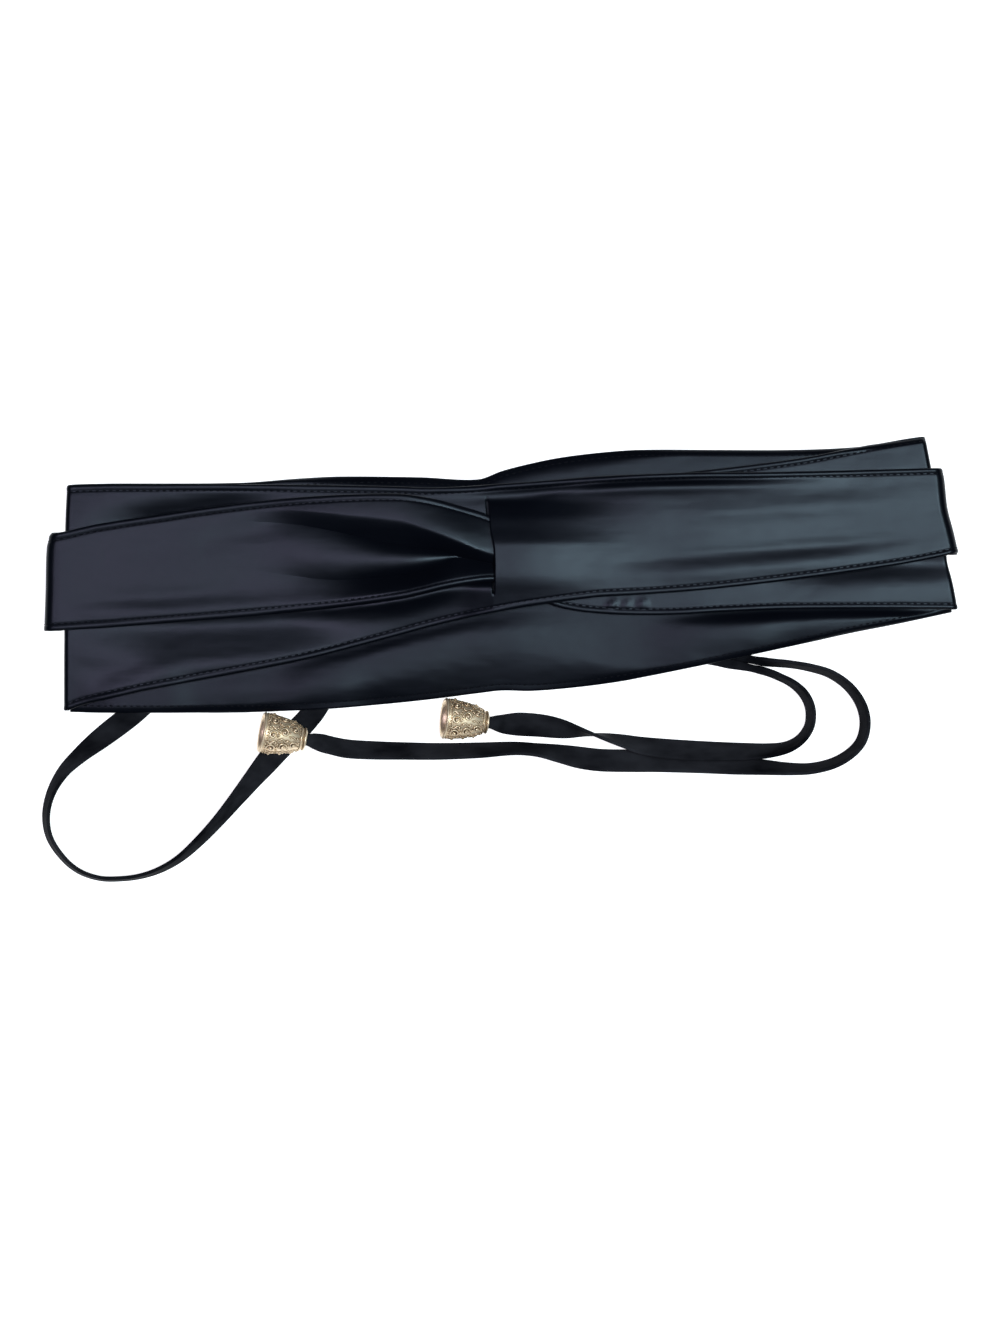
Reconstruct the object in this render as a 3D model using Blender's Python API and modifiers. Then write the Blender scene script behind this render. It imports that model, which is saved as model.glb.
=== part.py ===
"""A satin sash: a wide wrap belt with a slit, wound flat, and its ribbon ties with bell caps.

The cloth runs on in one piece: the strap comes over a fold at the left, gathers into the slit,
goes on under the front panel, turns back at the right as the back wrap, turns again at the left
as the front panel with the slit, and ends in a fold at the right.  Heights are worked out
layer by layer, each resting on what lies below it.
"""

import math

import bmesh
import bpy
from mathutils import Vector

MM = 0.001

# The cloth: two faces of satin over an interfacing, and the air between its layers.
WALL = 1.2 * MM
GAP = 0.45 * MM
PITCH = WALL + GAP
SEAM = 0.3 * MM
TAILS_SEAM = 0.5 * MM
TAILS = 1.8 * MM

# How far a layer hangs on past the edge of what lies under it before it is down again.
MARGIN = 1.0 * MM
TAILS_FADE = 18 * MM
STRIP_FADE = 4.5 * MM
TIE_FADE = 14 * MM

# Folds: the extra height that the bend keeps open, and how far it reaches into the cloth.
PILLOW = 1.6 * MM
PILLOW_REACH = 20 * MM
FOLD_PROBE = 3 * MM
FOLD_STEPS = 6
STRAP_DROOP = 1.8 * MM

# The slit in the front panel, and the stretch in which the strap steps down through it.
SLIT_WIDTH = 0.8 * MM
SLIT_STEP = 9 * MM
STRAP_END = 7 * MM

# The hump that the gathered strap raises in the panel past the slit: how far it reaches, and
# the rows between which it rises from the top, stays full, and falls at the bottom.
HUMP = 4.2 * MM
HUMP_REACH = 45 * MM
HUMP_ROWS = (29 * MM, 14 * MM, -2 * MM, -8 * MM)

# The long edges of each stretch, in mm.
# x, top edge y, bottom edge y
PANEL = (
    (-192.1, 39.2, -60.4), (-185.5, 39.6, -57.9), (-176.7, 39.8, -55.6), (-167.9, 39.9, -53.6),
    (-154.7, 39.8, -50.8), (-132.7, 39.8, -46.6), (-110.6, 39.7, -42.5), (-88.6, 39.5, -38.0),
    (-66.6, 39.2, -32.5), (-44.6, 38.7, -26.7), (-31.4, 38.2, -23.1), (-13.8, 38.9, -19.0),
    (-0.6, 39.9, -16.4), (8.3, 40.4, -14.8), (21.5, 41.4, -12.8), (34.7, 42.5, -11.0),
    (43.5, 43.1, -10.0), (65.5, 44.0, -8.7), (87.5, 44.7, -7.0), (109.5, 44.8, -4.7),
    (131.6, 45.2, -2.0), (153.6, 45.7, 1.0), (175.6, 46.3, 4.3), (193.2, 46.8, 7.7),
    (200.0, 47.0, 9.4),
)
STRIP = (
    (-199.9, 17.6, -25.1), (-191.7, 18.9, -24.6), (-185.5, 20.3, -24.2), (-176.7, 22.2, -23.7),
    (-154.7, 25.6, -22.1), (-132.7, 28.9, -20.3), (-110.6, 31.7, -18.5), (-88.6, 33.8, -16.5),
    (-66.6, 35.0, -14.1), (-44.6, 35.2, -11.0), (-35.8, 34.2, -9.1), (-27.0, 32.5, -6.9),
    (-18.2, 30.1, -5.1), (-9.4, 27.5, -3.8), (-4.0, 25.6, -3.4), (2.1, 24.6, -3.9),
    (12.0, 28.0, -8.8), (23.7, 32.2, -14.0), (34.0, 35.5, -16.2), (43.5, 38.2, -17.2),
    (54.5, 41.0, -17.8), (73.4, 44.0, -17.8), (96.3, 46.6, -16.6), (119.1, 49.4, -15.6),
    (135.4, 51.8, -15.3), (153.6, 55.3, -15.2), (168.0, 58.0, -15.2), (185.3, 60.8, -15.3),
    (200.3, 61.6, -15.4),
)
BACK = (
    (-192.1, 39.4, -60.6), (-176.6, 40.0, -61.0), (-115.0, 40.4, -60.8), (-88.6, 42.4, -59.9),
    (-70.9, 43.3, -58.9), (-35.8, 43.0, -55.6), (-10.2, 42.1, -52.4), (0.3, 45.8, -51.2),
    (12.6, 49.0, -51.4), (25.9, 51.7, -50.5), (43.5, 53.9, -48.5), (61.1, 55.1, -45.6),
    (96.3, 55.0, -38.4), (127.0, 55.0, -31.8), (153.5, 56.0, -25.8), (175.4, 58.4, -21.5),
    (200.3, 62.2, -16.2),
)
HIDDEN = (
    (-195.5, 17.0, -24.9), (-188.5, 17.6, -24.5), (-180.0, 22.0, -31.0), (-165.0, 29.0, -42.0),
    (-115.0, 31.0, -45.0), (-70.9, 33.5, -44.5), (-9.4, 33.9, -41.0), (43.5, 43.0, -35.0),
    (85.0, 44.5, -23.0), (120.0, 44.8, -14.0), (153.5, 45.0, -6.0), (177.7, 45.2, 5.2),
    (197.0, 46.3, 9.7),
)

# The outer line of each fold, and the line of the slit, in mm.
# y, x
LEFT_FOLD = ((39.2, -191.4), (20.0, -192.1), (-60.9, -192.8))
STRAP_FOLD = ((17.6, -198.8), (11.4, -200.3), (-7.0, -200.8), (-25.5, -201.4))
BACK_FOLD = ((60.7, 186.8), (-15.9, 201.3))
PANEL_FOLD = ((47.0, 194.0), (42.2, 195.2), (29.0, 196.7), (18.5, 199.4), (9.2, 201.5))
SLIT = ((32.6, -6.3), (19.4, -5.2), (10.6, -3.6), (-8.1, -3.4))

# The gathers that run into the slit, in mm: the upper ridge, the middle one and the bottom hem.
# height, half width, where it starts x, where it is full x, where it has gone x, crest
GATHERS = (
    (4.0, 4.2, -115.0, -24.0, 24.0,
     ((29.2, -110.0), (28.4, -70.9), (26.0, -44.6), (20.2, -27.0), (12.8, -11.6), (9.2, -3.0),
      (8.0, 17.0))),
    (2.0, 3.6, -125.0, -55.0, -17.0,
     ((12.0, -110.0), (7.5, -75.3), (6.6, -44.6), (7.4, -24.0))),
    (2.2, 2.8, -100.0, -22.0, 22.0,
     ((-14.6, -88.6), (-9.2, -44.6), (-4.9, -27.0), (-2.2, -9.4), (-1.8, -3.0),
      (-6.0, 20.0))),
)

# The rows of each stretch, as parts of its width from the top edge; two meet the slit's ends.
SLIT_TOP_ROW = 2
SLIT_BOTTOM_ROW = 11
PANEL_ROWS = (0, 0.05, 0.124, 0.19, 0.27, 0.35, 0.43, 0.51, 0.59, 0.67, 0.75, 0.841, 0.92, 1)
STRAP_ROWS = tuple(k / 11 for k in range(12))
UNDER_ROWS = tuple(k / 14 for k in range(15))
BACK_ROWS = tuple(k / 18 for k in range(19))
TAILS_ROWS = tuple(k / 6 for k in range(7))

# The ties: flat ribbons that stand on edge in their bends, just clear of the surface.
FLOOR_GAP = 0.15 * MM
TIE_STEPS = 2

# Where a tie comes out under the sash, and how it lifts the cloth, in mm.
# from x, from y, to x, to y, half width, height
TIE_LIFTS = (
    (-153.7, -53.7, -164.0, -62.5, 6.6, 2.7),
    (-78.0, -53.7, -84.2, -62.5, 6.6, 2.7),
    (89.0, -34.0, 110.0, -37.5, 6.0, 3.8),
)

# The route of each tie, in mm; lean is the ribbon's angle from lying flat, in degrees.
# x, y, width, wall, lean, lift
LEFT_LOOP = (
    (-153.7, -53.7, 9.0, 1.4, 0, 0), (-162.5, -61.2, 10.0, 1.6, 0, 0),
    (-176.6, -72.2, 10.5, 1.6, 26, 0), (-185.4, -79.4, 10.5, 1.6, 48, 0),
    (-192.4, -86.9, 10.5, 1.6, 62, 0), (-197.7, -96.4, 10.5, 1.6, 72, 0),
    (-199.8, -106.5, 10.5, 1.6, 76, 0), (-198.1, -116.2, 10.5, 1.6, 78, 0),
    (-192.4, -125.4, 10.5, 1.6, 80, 0), (-185.4, -130.9, 10.5, 1.6, 83, 0),
    (-176.6, -133.8, 10.5, 1.6, 86, 0), (-167.8, -134.0, 10.5, 1.6, 88, 0),
    (-159.0, -132.9, 10.5, 1.6, 88, 0), (-150.2, -130.0, 10.5, 1.6, 86, 0),
    (-141.4, -125.4, 10.5, 1.6, 82, 0), (-132.6, -118.4, 10.5, 1.6, 76, 0),
    (-123.5, -109.5, 10.5, 1.6, 69, 0), (-114.4, -98.9, 10.5, 1.6, 56, 0),
    (-105.6, -88.4, 10.5, 1.6, 34, 0), (-98.7, -80.0, 10.5, 1.6, 4, 0),
    (-91.2, -71.2, 10.5, 1.6, 0, 0), (-83.3, -61.2, 10.0, 1.6, 0, 0),
    (-78.0, -53.7, 9.0, 1.4, 0, 0),
)
OUTER_TIE = (
    (92.0, -31.0, 3.0, 2.6, 0, 0), (97.5, -33.3, 2.8, 2.6, 0, 0), (103.0, -35.4, 2.6, 2.6, 0, 0),
    (108.0, -37.0, 2.4, 2.6, 0, 0), (113.0, -38.2, 3.2, 2.4, 70, 0),
    (118.3, -38.9, 5.4, 2.0, 76, 0), (127.0, -39.5, 9.0, 1.7, 78, 0),
    (135.8, -41.0, 10.5, 1.6, 77, 0), (144.9, -43.8, 10.5, 1.6, 76, 0),
    (152.9, -49.4, 10.5, 1.6, 75, 0), (158.3, -57.0, 10.5, 1.6, 74, 0),
    (160.2, -65.1, 10.5, 1.6, 74, 0), (158.6, -73.0, 10.5, 1.6, 74, 0),
    (153.9, -78.6, 10.5, 1.6, 73, 0), (146.4, -83.0, 10.5, 1.6, 71, 0),
    (136.7, -85.4, 10.5, 1.6, 69, 0), (127.0, -85.6, 10.5, 1.6, 64, 0),
    (116.1, -84.9, 10.5, 1.6, 55, 0), (102.8, -84.1, 10.5, 1.6, 44, 0),
    (87.4, -83.0, 10.5, 1.6, 33, 0), (69.9, -82.2, 10.5, 1.6, 22, 0),
    (54.5, -82.1, 10.5, 1.6, 20, 0), (43.5, -81.8, 10.5, 1.6, 20, 0),
    (34.7, -81.2, 10.5, 1.6, 26, 0), (25.9, -80.1, 10.5, 1.6, 46, 0),
    (16.0, -78.4, 10.5, 1.6, 68, 0), (6.0, -77.7, 10.5, 1.6, 71, 0),
    (-9.4, -78.3, 10.5, 1.6, 60, 0), (-27.0, -78.5, 10.5, 1.6, 55, 0),
    (-44.5, -78.1, 10.5, 1.6, 52, 0), (-57.8, -77.6, 10.5, 1.6, 46, 0),
    (-68.3, -76.7, 10.5, 1.6, 42, 0), (-76.1, -75.0, 9.2, 1.8, 34, 1.4),
)
INNER_TIE = (
    (89.0, -37.0, 3.0, 2.6, 0, 0), (95.0, -37.9, 2.8, 2.6, 0, 0), (100.6, -39.2, 2.5, 2.6, 0, 0),
    (106.0, -40.3, 2.3, 2.6, 0, 0), (111.0, -41.4, 2.4, 2.6, 20, 0),
    (117.4, -43.2, 4.2, 2.2, 70, 0), (122.8, -45.2, 7.0, 1.8, 77, 0),
    (128.4, -48.2, 10.0, 1.6, 79, 0), (132.6, -51.9, 10.5, 1.6, 79, 0),
    (135.2, -56.2, 10.5, 1.6, 79, 0),
    (136.3, -61.2, 10.5, 1.6, 80, 0), (135.5, -67.1, 10.5, 1.6, 79, 0),
    (131.7, -72.6, 10.5, 1.6, 76, 0), (125.7, -76.1, 10.5, 1.6, 68, 0),
    (117.4, -77.6, 10.5, 1.6, 57, 0), (108.6, -78.0, 10.5, 1.6, 48, 0),
    (99.3, -78.0, 10.5, 1.6, 42, 0), (86.1, -77.6, 10.5, 1.6, 37, 0),
    (72.1, -76.7, 10.5, 1.6, 37, 0), (61.1, -75.2, 10.5, 1.6, 48, 0),
    (52.3, -73.5, 10.5, 1.6, 64, 0), (43.5, -71.7, 10.5, 1.6, 84, 0),
    (34.7, -70.2, 10.5, 1.6, 112, 0), (25.9, -68.9, 10.5, 1.6, 146, 0),
    (17.0, -67.6, 10.5, 1.6, 166, 0), (8.0, -66.6, 10.5, 1.6, 172, 0.3),
    (1.5, -65.9, 8.8, 1.9, 178, 1.2),
)

# A bell cap, turned about its axis from the mouth: height, outer radius, in mm.
BELL_OUTER = ((20.0, 4.3), (19.6, 5.0), (18.6, 4.8), (17.8, 5.2), (14.5, 6.4), (10.0, 7.5),
              (5.3, 8.3), (1.2, 8.8), (0.0, 8.6))
BELL_INNER = ((0.4, 7.6), (5.3, 7.1), (10.0, 6.3), (14.5, 5.2), (17.4, 4.1), (18.4, 3.5),
              (19.8, 3.5))
BELL_STEPS = 24
BELL_TILT = math.atan2(8.8 - 5.0, 20.0)

# Where the bells lie, in mm and degrees: mouth centre x, mouth centre y, heading, lift
BELL_OF_OUTER_TIE = (-105.3, -69.5, -10.0, 2.5)
BELL_OF_INNER_TIE = (-24.9, -63.2, -5.5, FLOOR_GAP / MM)

# A tie's end in its bell: distance from the mouth along the axis, width, wall, in mm
BELL_END = ((23.6, 6.8, 3.0), (20.8, 5.2, 3.9), (18.0, 5.2, 3.9), (16.4, 7.4, 7.0),
            (13.2, 7.6, 7.4), (11.8, 4.6, 4.4))

# The middle of the wound cloth in the tables above, which becomes the origin.
CENTRE = Vector((0.0, -0.1, 0.0)) * MM

SATIN = (0.012, 0.014, 0.022, 1.0)
RIBBON_COLOUR = (0.008, 0.009, 0.014, 1.0)
GOLD = (0.50, 0.38, 0.22, 1.0)


def blend(a, b, share):
    return a + (b - a) * share


def smooth(start, end, value):
    """0 before start, 1 after end, and a soft slope between."""
    share = min(max((value - start) / (end - start), 0.0), 1.0)
    return share * share * (3 - 2 * share)


def curve_through(keys, values, key):
    """The value at key on a smooth curve through a table whose keys rise."""
    key = min(max(key, keys[0]), keys[-1])
    last = len(keys) - 2
    i = next((n for n in range(last + 1) if key <= keys[n + 1]), last)

    def slope(n):
        before, after = max(n - 1, 0), min(n + 1, len(keys) - 1)
        return (values[after] - values[before]) / (keys[after] - keys[before])

    span = keys[i + 1] - keys[i]
    s = (key - keys[i]) / span
    return ((1 + 2 * s) * (1 - s) ** 2 * values[i] + s * (1 - s) ** 2 * span * slope(i)
            + s * s * (3 - 2 * s) * values[i + 1] - s * s * (1 - s) * span * slope(i + 1))


class Outline:
    """The two long edges of a stretch of cloth."""

    def __init__(self, sections):
        self.x, self.top, self.bottom = ([value * MM for value in column] for column in zip(*sections))

    def row(self, x, part):
        """The y at x of the row that lies this part of the width below the top edge."""
        return blend(curve_through(self.x, self.top, x), curve_through(self.x, self.bottom, x), part)

    def cover(self, fade, x, y):
        """1 on the stretch and just past its long edges, fading to 0."""
        past = max(y - self.row(x, 0), self.row(x, 1) - y, 0.0)
        return 1 - smooth(MARGIN, MARGIN + fade, past)


def cross_line(table):
    """A line across the cloth, as a function from y to x."""
    keys = [y * MM for y, x in reversed(table)]
    values = [x * MM for y, x in reversed(table)]
    return lambda y: curve_through(keys, values, y)


panel = Outline(PANEL)
strip = Outline(STRIP)
back = Outline(BACK)
hidden = Outline(HIDDEN)
left_fold = cross_line(LEFT_FOLD)
strap_fold = cross_line(STRAP_FOLD)
back_fold = cross_line(BACK_FOLD)
panel_fold = cross_line(PANEL_FOLD)
slit = cross_line(SLIT)


def tie_lift(x, y):
    """How far the ties' hidden ends lift the cloth that lies on them."""
    lift = 0.0
    for row in TIE_LIFTS:
        x0, y0, x1, y1, half, height = (value * MM for value in row)
        run = Vector((x1 - x0, y1 - y0))
        share = min(max(run.dot(Vector((x - x0, y - y0))) / run.length_squared, 0.0), 1.0)
        away = math.hypot(x - blend(x0, x1, share), y - blend(y0, y1, share))
        lift = max(lift, height * (1 - smooth(half, half + TIE_FADE, away)))
    return lift


def gathers(x, y):
    """The height of the ridges that run into the slit."""
    height = 0.0
    for rise, half, start, full, end, crest in GATHERS:
        xs = [point[1] * MM for point in crest]
        ys = [point[0] * MM for point in crest]
        along = smooth(start * MM, full * MM, x) * (1 - smooth(full * MM, end * MM, x))
        away = (y - curve_through(xs, ys, x)) / (half * MM)
        height += rise * MM * along * math.exp(-away * away)
    return height


def tails_height(x, y):
    return TAILS / 2


def back_height(x, y):
    """The middle of the back wrap's wall, which lies on the hidden layers and on the ties."""
    on_tails = hidden.cover(TAILS_FADE, x, y) * (TAILS + GAP)
    return WALL / 2 + math.hypot(on_tails, tie_lift(x, y))


def base_height(x, y):
    """The middle of the first wall on the back wrap, kept open near both folds."""
    left = 1 - smooth(0, PILLOW_REACH, x - left_fold(y))
    right = 1 - smooth(0, PILLOW_REACH, back_fold(y) - x)
    return back_height(x, y) + PITCH + PILLOW * max(left, right)


def strip_level(x, y):
    """How far the strap lies above the base: it steps down through the slit, and at its fold."""
    past_slit = smooth(SLIT_WIDTH, SLIT_STEP, x - slit(y))
    droop = STRAP_DROOP * smooth(1 * MM, 9 * MM, left_fold(y) - x)
    return PITCH * (1 - past_slit) - droop


def strip_height(x, y):
    return base_height(x, y) + strip_level(x, y) + gathers(x, y)


def hump(x, y):
    """A smooth form over the gathers, which the panel follows past the slit."""
    top, full_top, full_bottom, bottom = HUMP_ROWS
    along = 1 - smooth(0, HUMP_REACH, x - slit(y))
    return HUMP * along * smooth(-top, -full_top, -y) * smooth(bottom, full_bottom, y)


def panel_height(x, y):
    """The front panel: on the base at its left part, and over the strip past the slit."""
    base = base_height(x, y)
    if x < slit(y):
        return base
    over = PITCH + strip_level(x, y) + hump(x, y)
    return base + strip.cover(STRIP_FADE, x, y) * over


def floor_height(x, y):
    return WALL / 2


def turn_line(line, side, upper, lower):
    """Where a fold's half turn starts: its radius and half a wall in from its outer line."""
    def start(y):
        x = line(y) - side * FOLD_PROBE
        return line(y) - side * ((upper(x, y) - lower(x, y)) / 2 + WALL / 2)
    return start


def shifted(line, distance):
    return lambda y: line(y) + distance


def meeting(outline, line, part):
    """The point where a row of the outline meets a line across it."""
    x = line(0.0)
    for _ in range(5):
        y = outline.row(x, part)
        x = line(y)
    return x, outline.row(x, part)


def flat_columns(outline, start, end, shares, rows, height):
    """Columns of points from one line across the cloth to another."""
    columns = []
    for share in shares:
        column = []
        for part in rows:
            x = blend(meeting(outline, start, part)[0], meeting(outline, end, part)[0], share)
            y = outline.row(x, part)
            column.append((x, y, height(x, y)))
        columns.append(column)
    return columns


def half_turn(outline, start, side, rows, upper, lower):
    """Columns round a fold, from the upper wall down to the lower one."""
    columns = []
    for step in range(1, FOLD_STEPS + 1):
        angle = math.pi * step / FOLD_STEPS
        column = []
        for part in rows:
            x, y = meeting(outline, start, part)
            high, low = upper(x, y), lower(x, y)
            radius = (high - low) / 2
            column.append((x + side * radius * math.sin(angle), y, low + radius * (1 + math.cos(angle))))
        columns.append(column)
    return columns


def shares(count, crowding=0.6):
    """Shares from 0 to 1 that crowd towards both ends."""
    return [blend(k / count, (1 - math.cos(math.pi * k / count)) / 2, crowding)
            for k in range(count + 1)]


def material(name, colour, roughness, metallic):
    made = bpy.data.materials.new(name)
    made.use_nodes = True
    shader = made.node_tree.nodes["Principled BSDF"]
    shader.inputs["Base Color"].default_value = colour
    shader.inputs["Roughness"].default_value = roughness
    shader.inputs["Metallic"].default_value = metallic
    return made


def add_object(name, bm, colour, roughness, metallic, collection):
    mesh = bpy.data.meshes.new(name)
    bm.to_mesh(mesh)
    bm.free()
    made = bpy.data.objects.new(name, mesh)
    collection.objects.link(made)
    made.data.materials.append(material(name, colour, roughness, metallic))
    made.location = -CENTRE
    return made


def add_cloth(name, columns, collection, wall=WALL, open_column=None):
    """One stretch of cloth, from the points of its middle, made solid with Solidify."""
    bm = bmesh.new()
    grid = [[bm.verts.new(point) for point in column] for column in columns]
    for c in range(len(grid) - 1):
        near, far = grid[c], grid[c + 1]
        for r in range(len(near) - 1):
            if c == open_column and SLIT_TOP_ROW <= r < SLIT_BOTTOM_ROW:
                continue
            bm.faces.new((near[r], near[r + 1], far[r + 1], far[r]))
    made = add_object(name, bm, SATIN, 0.35, 0.0, collection)
    solid = made.modifiers.new("wall", "SOLIDIFY")
    solid.thickness = wall
    solid.offset = 0.0
    made.data.shade_smooth()
    return made


def add_panel(collection):
    turn_left = turn_line(left_fold, -1, panel_height, back_height)
    turn_right = turn_line(panel_fold, 1, panel_height, floor_height)
    left_lip = shifted(slit, -SLIT_WIDTH / 2)
    right_lip = shifted(slit, SLIT_WIDTH / 2)
    rows = PANEL_ROWS
    round_left = half_turn(panel, turn_left, -1, rows, panel_height, back_height)
    left = flat_columns(panel, turn_left, left_lip, shares(22), rows, panel_height)
    right = flat_columns(panel, right_lip, turn_right, shares(22), rows, panel_height)
    round_right = half_turn(panel, turn_right, 1, rows, panel_height, floor_height)
    columns = round_left[::-1] + left + right + round_right
    add_cloth("front_panel", columns, collection, open_column=len(round_left) + len(left) - 1)


def add_strap(collection):
    turn = turn_line(strap_fold, -1, strip_height, floor_height)
    end = shifted(slit, STRAP_END)
    around = half_turn(strip, turn, -1, STRAP_ROWS, strip_height, floor_height)
    flat = flat_columns(strip, turn, end, shares(26), STRAP_ROWS, strip_height)
    add_cloth("wrap_strap", around[::-1] + flat, collection)


def add_under_wrap(collection):
    start = shifted(slit, STRAP_END + SEAM)
    turn = turn_line(back_fold, 1, strip_height, back_height)
    flat = flat_columns(strip, start, turn, shares(20), UNDER_ROWS, strip_height)
    around = half_turn(strip, turn, 1, UNDER_ROWS, strip_height, back_height)
    add_cloth("under_wrap", flat + around, collection)


def add_back_wrap(collection):
    start = shifted(turn_line(left_fold, -1, panel_height, back_height), SEAM)
    end = shifted(turn_line(back_fold, 1, strip_height, back_height), -SEAM)
    columns = flat_columns(back, start, end, shares(38, 0.2), BACK_ROWS, back_height)
    add_cloth("back_wrap", columns, collection)


def add_tails(collection):
    """The two ends of the cloth and what else is folded away, as one slab with round edges."""
    start = shifted(turn_line(strap_fold, -1, strip_height, floor_height), TAILS_SEAM)
    end = shifted(turn_line(panel_fold, 1, panel_height, floor_height), -TAILS_SEAM)
    columns = flat_columns(hidden, start, end, shares(14), TAILS_ROWS, tails_height)
    made = add_cloth("hidden_tails", columns, collection, wall=TAILS)
    edge = made.modifiers.new("round", "BEVEL")
    edge.width = 0.6 * MM
    edge.segments = 2
    edge.limit_method = "ANGLE"


def lean_height(width, wall, lean):
    """How high a ribbon's middle is when its low edge is on the surface."""
    return width / 2 * abs(math.sin(lean)) + wall / 2 * abs(math.cos(lean)) + FLOOR_GAP


def bell_axis(place):
    """A bell's mouth centre, the direction from its mouth to its neck, and its lowest point."""
    x, y, heading, lift = place
    turn = math.radians(heading)
    along = Vector((math.cos(turn) * math.cos(BELL_TILT), math.sin(turn) * math.cos(BELL_TILT),
                    -math.sin(BELL_TILT)))
    lowest = min(-h * math.sin(BELL_TILT) - r * math.cos(BELL_TILT) for h, r in BELL_OUTER)
    mouth = Vector((x, y, lift - lowest)) * MM
    return mouth, along


def add_bell(name, place, collection):
    mouth, along = bell_axis(place)
    bm = bmesh.new()
    ring = [bm.verts.new((r * MM, 0, h * MM)) for h, r in BELL_OUTER + BELL_INNER]
    for a, b in zip(ring, ring[1:] + ring[:1]):
        bm.edges.new((a, b))
    made = add_object(name, bm, GOLD, 0.3, 1.0, collection)
    turned = made.modifiers.new("turn", "SCREW")
    turned.steps = BELL_STEPS
    turned.render_steps = BELL_STEPS
    turned.use_merge_vertices = True
    turned.merge_threshold = 0.00001
    made.rotation_mode = "QUATERNION"
    made.rotation_quaternion = along.to_track_quat("Z", "Y")
    made.location = mouth - CENTRE


def tie_stations(table, bell=None):
    """A tie's route as rows of x, y, width, wall, lean and lift, with its end in the bell."""
    stations = [(x * MM, y * MM, width * MM, wall * MM, math.radians(degrees), lift * MM)
                for x, y, width, wall, degrees, lift in table]
    if bell:
        mouth, along = bell_axis(bell)
        lean = math.pi * round(stations[-1][4] / math.pi)
        for distance, width, wall in BELL_END:
            x, y, z = mouth + along * distance * MM
            lift = z - lean_height(width * MM, wall * MM, lean)
            stations.append((x, y, width * MM, wall * MM, lean, lift))
    return stations


def refined(stations):
    """The stations and the points between them on a smooth curve through all."""
    keys = [0.0]
    for a, b in zip(stations, stations[1:]):
        keys.append(keys[-1] + math.dist(a[:2], b[:2]))
    columns = list(zip(*stations))
    fine = []
    for a, b in zip(keys, keys[1:]):
        for step in range(TIE_STEPS):
            key = blend(a, b, step / TIE_STEPS)
            fine.append([curve_through(keys, column, key) for column in columns])
    fine.append(list(stations[-1]))
    return fine


def add_tie(name, stations, collection):
    """A ribbon as a loft of rounded oblongs along its route."""
    route = refined(stations)
    places = [Vector((x, y, lean_height(width, wall, lean) + lift))
              for x, y, width, wall, lean, lift in route]
    bm = bmesh.new()
    rings = []
    for n, (x, y, width, wall, lean, lift) in enumerate(route):
        before, after = places[max(n - 1, 0)], places[min(n + 1, len(places) - 1)]
        ahead = (after - before).normalized()
        side = Vector((0, 0, 1)).cross(ahead).normalized()
        up = ahead.cross(side)
        across = side * math.cos(lean) + up * math.sin(lean)
        through = up * math.cos(lean) - side * math.sin(lean)
        corner = (width / 2, wall * 0.22)
        edge = (width / 2 - wall * 0.28, wall / 2)
        ring = []
        for a, b in ((1, 1), (-1, 1), (-1, -1), (1, -1)):
            pair = (corner, edge) if a * b > 0 else (edge, corner)
            ring += [places[n] + across * a * u + through * b * v for u, v in pair]
        rings.append([bm.verts.new(point) for point in ring])
    for near, far in zip(rings, rings[1:]):
        for k in range(8):
            bm.faces.new((near[k], far[k], far[(k + 1) % 8], near[(k + 1) % 8]))
    bm.faces.new(rings[0])
    bm.faces.new(rings[-1][::-1])
    bmesh.ops.recalc_face_normals(bm, faces=bm.faces)
    made = add_object(name, bm, RIBBON_COLOUR, 0.4, 0.0, collection)
    made.data.shade_smooth()


def main():
    for old in list(bpy.data.objects):
        bpy.data.objects.remove(old)
    collection = bpy.data.collections.new("satin_sash")
    bpy.context.scene.collection.children.link(collection)
    add_panel(collection)
    add_strap(collection)
    add_under_wrap(collection)
    add_back_wrap(collection)
    add_tails(collection)
    add_bell("bell_outer", BELL_OF_OUTER_TIE, collection)
    add_bell("bell_inner", BELL_OF_INNER_TIE, collection)
    add_tie("tie_left_loop", tie_stations(LEFT_LOOP), collection)
    add_tie("tie_outer", tie_stations(OUTER_TIE, BELL_OF_OUTER_TIE), collection)
    add_tie("tie_inner", tie_stations(INNER_TIE, BELL_OF_INNER_TIE), collection)


main()
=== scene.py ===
"""The looks of the satin sash: cloth with hems, gathers and stitches, ribbon ties and bell caps.

Each stretch of cloth is a thin closed shell on the form of its solid.  Heights are worked out
layer by layer from the surface up, as in the part, with the real gathers and creases added.
"""

import math

import bmesh
import bpy
import numpy as np
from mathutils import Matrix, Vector

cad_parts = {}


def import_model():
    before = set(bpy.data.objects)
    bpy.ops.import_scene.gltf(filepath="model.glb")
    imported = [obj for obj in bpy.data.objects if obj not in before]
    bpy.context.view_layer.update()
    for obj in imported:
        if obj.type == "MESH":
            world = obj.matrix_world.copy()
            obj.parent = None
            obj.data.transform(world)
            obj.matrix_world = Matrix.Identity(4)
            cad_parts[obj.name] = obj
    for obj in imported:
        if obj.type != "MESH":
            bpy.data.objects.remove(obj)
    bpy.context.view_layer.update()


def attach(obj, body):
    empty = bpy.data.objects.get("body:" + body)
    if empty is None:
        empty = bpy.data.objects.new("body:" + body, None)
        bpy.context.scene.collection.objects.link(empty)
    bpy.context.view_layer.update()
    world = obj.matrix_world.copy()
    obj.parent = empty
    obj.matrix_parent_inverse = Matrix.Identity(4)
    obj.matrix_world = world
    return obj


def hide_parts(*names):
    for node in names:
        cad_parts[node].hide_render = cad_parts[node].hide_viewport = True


MM = 0.001
TINY = 1e-12
WELD = 1e-6

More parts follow.
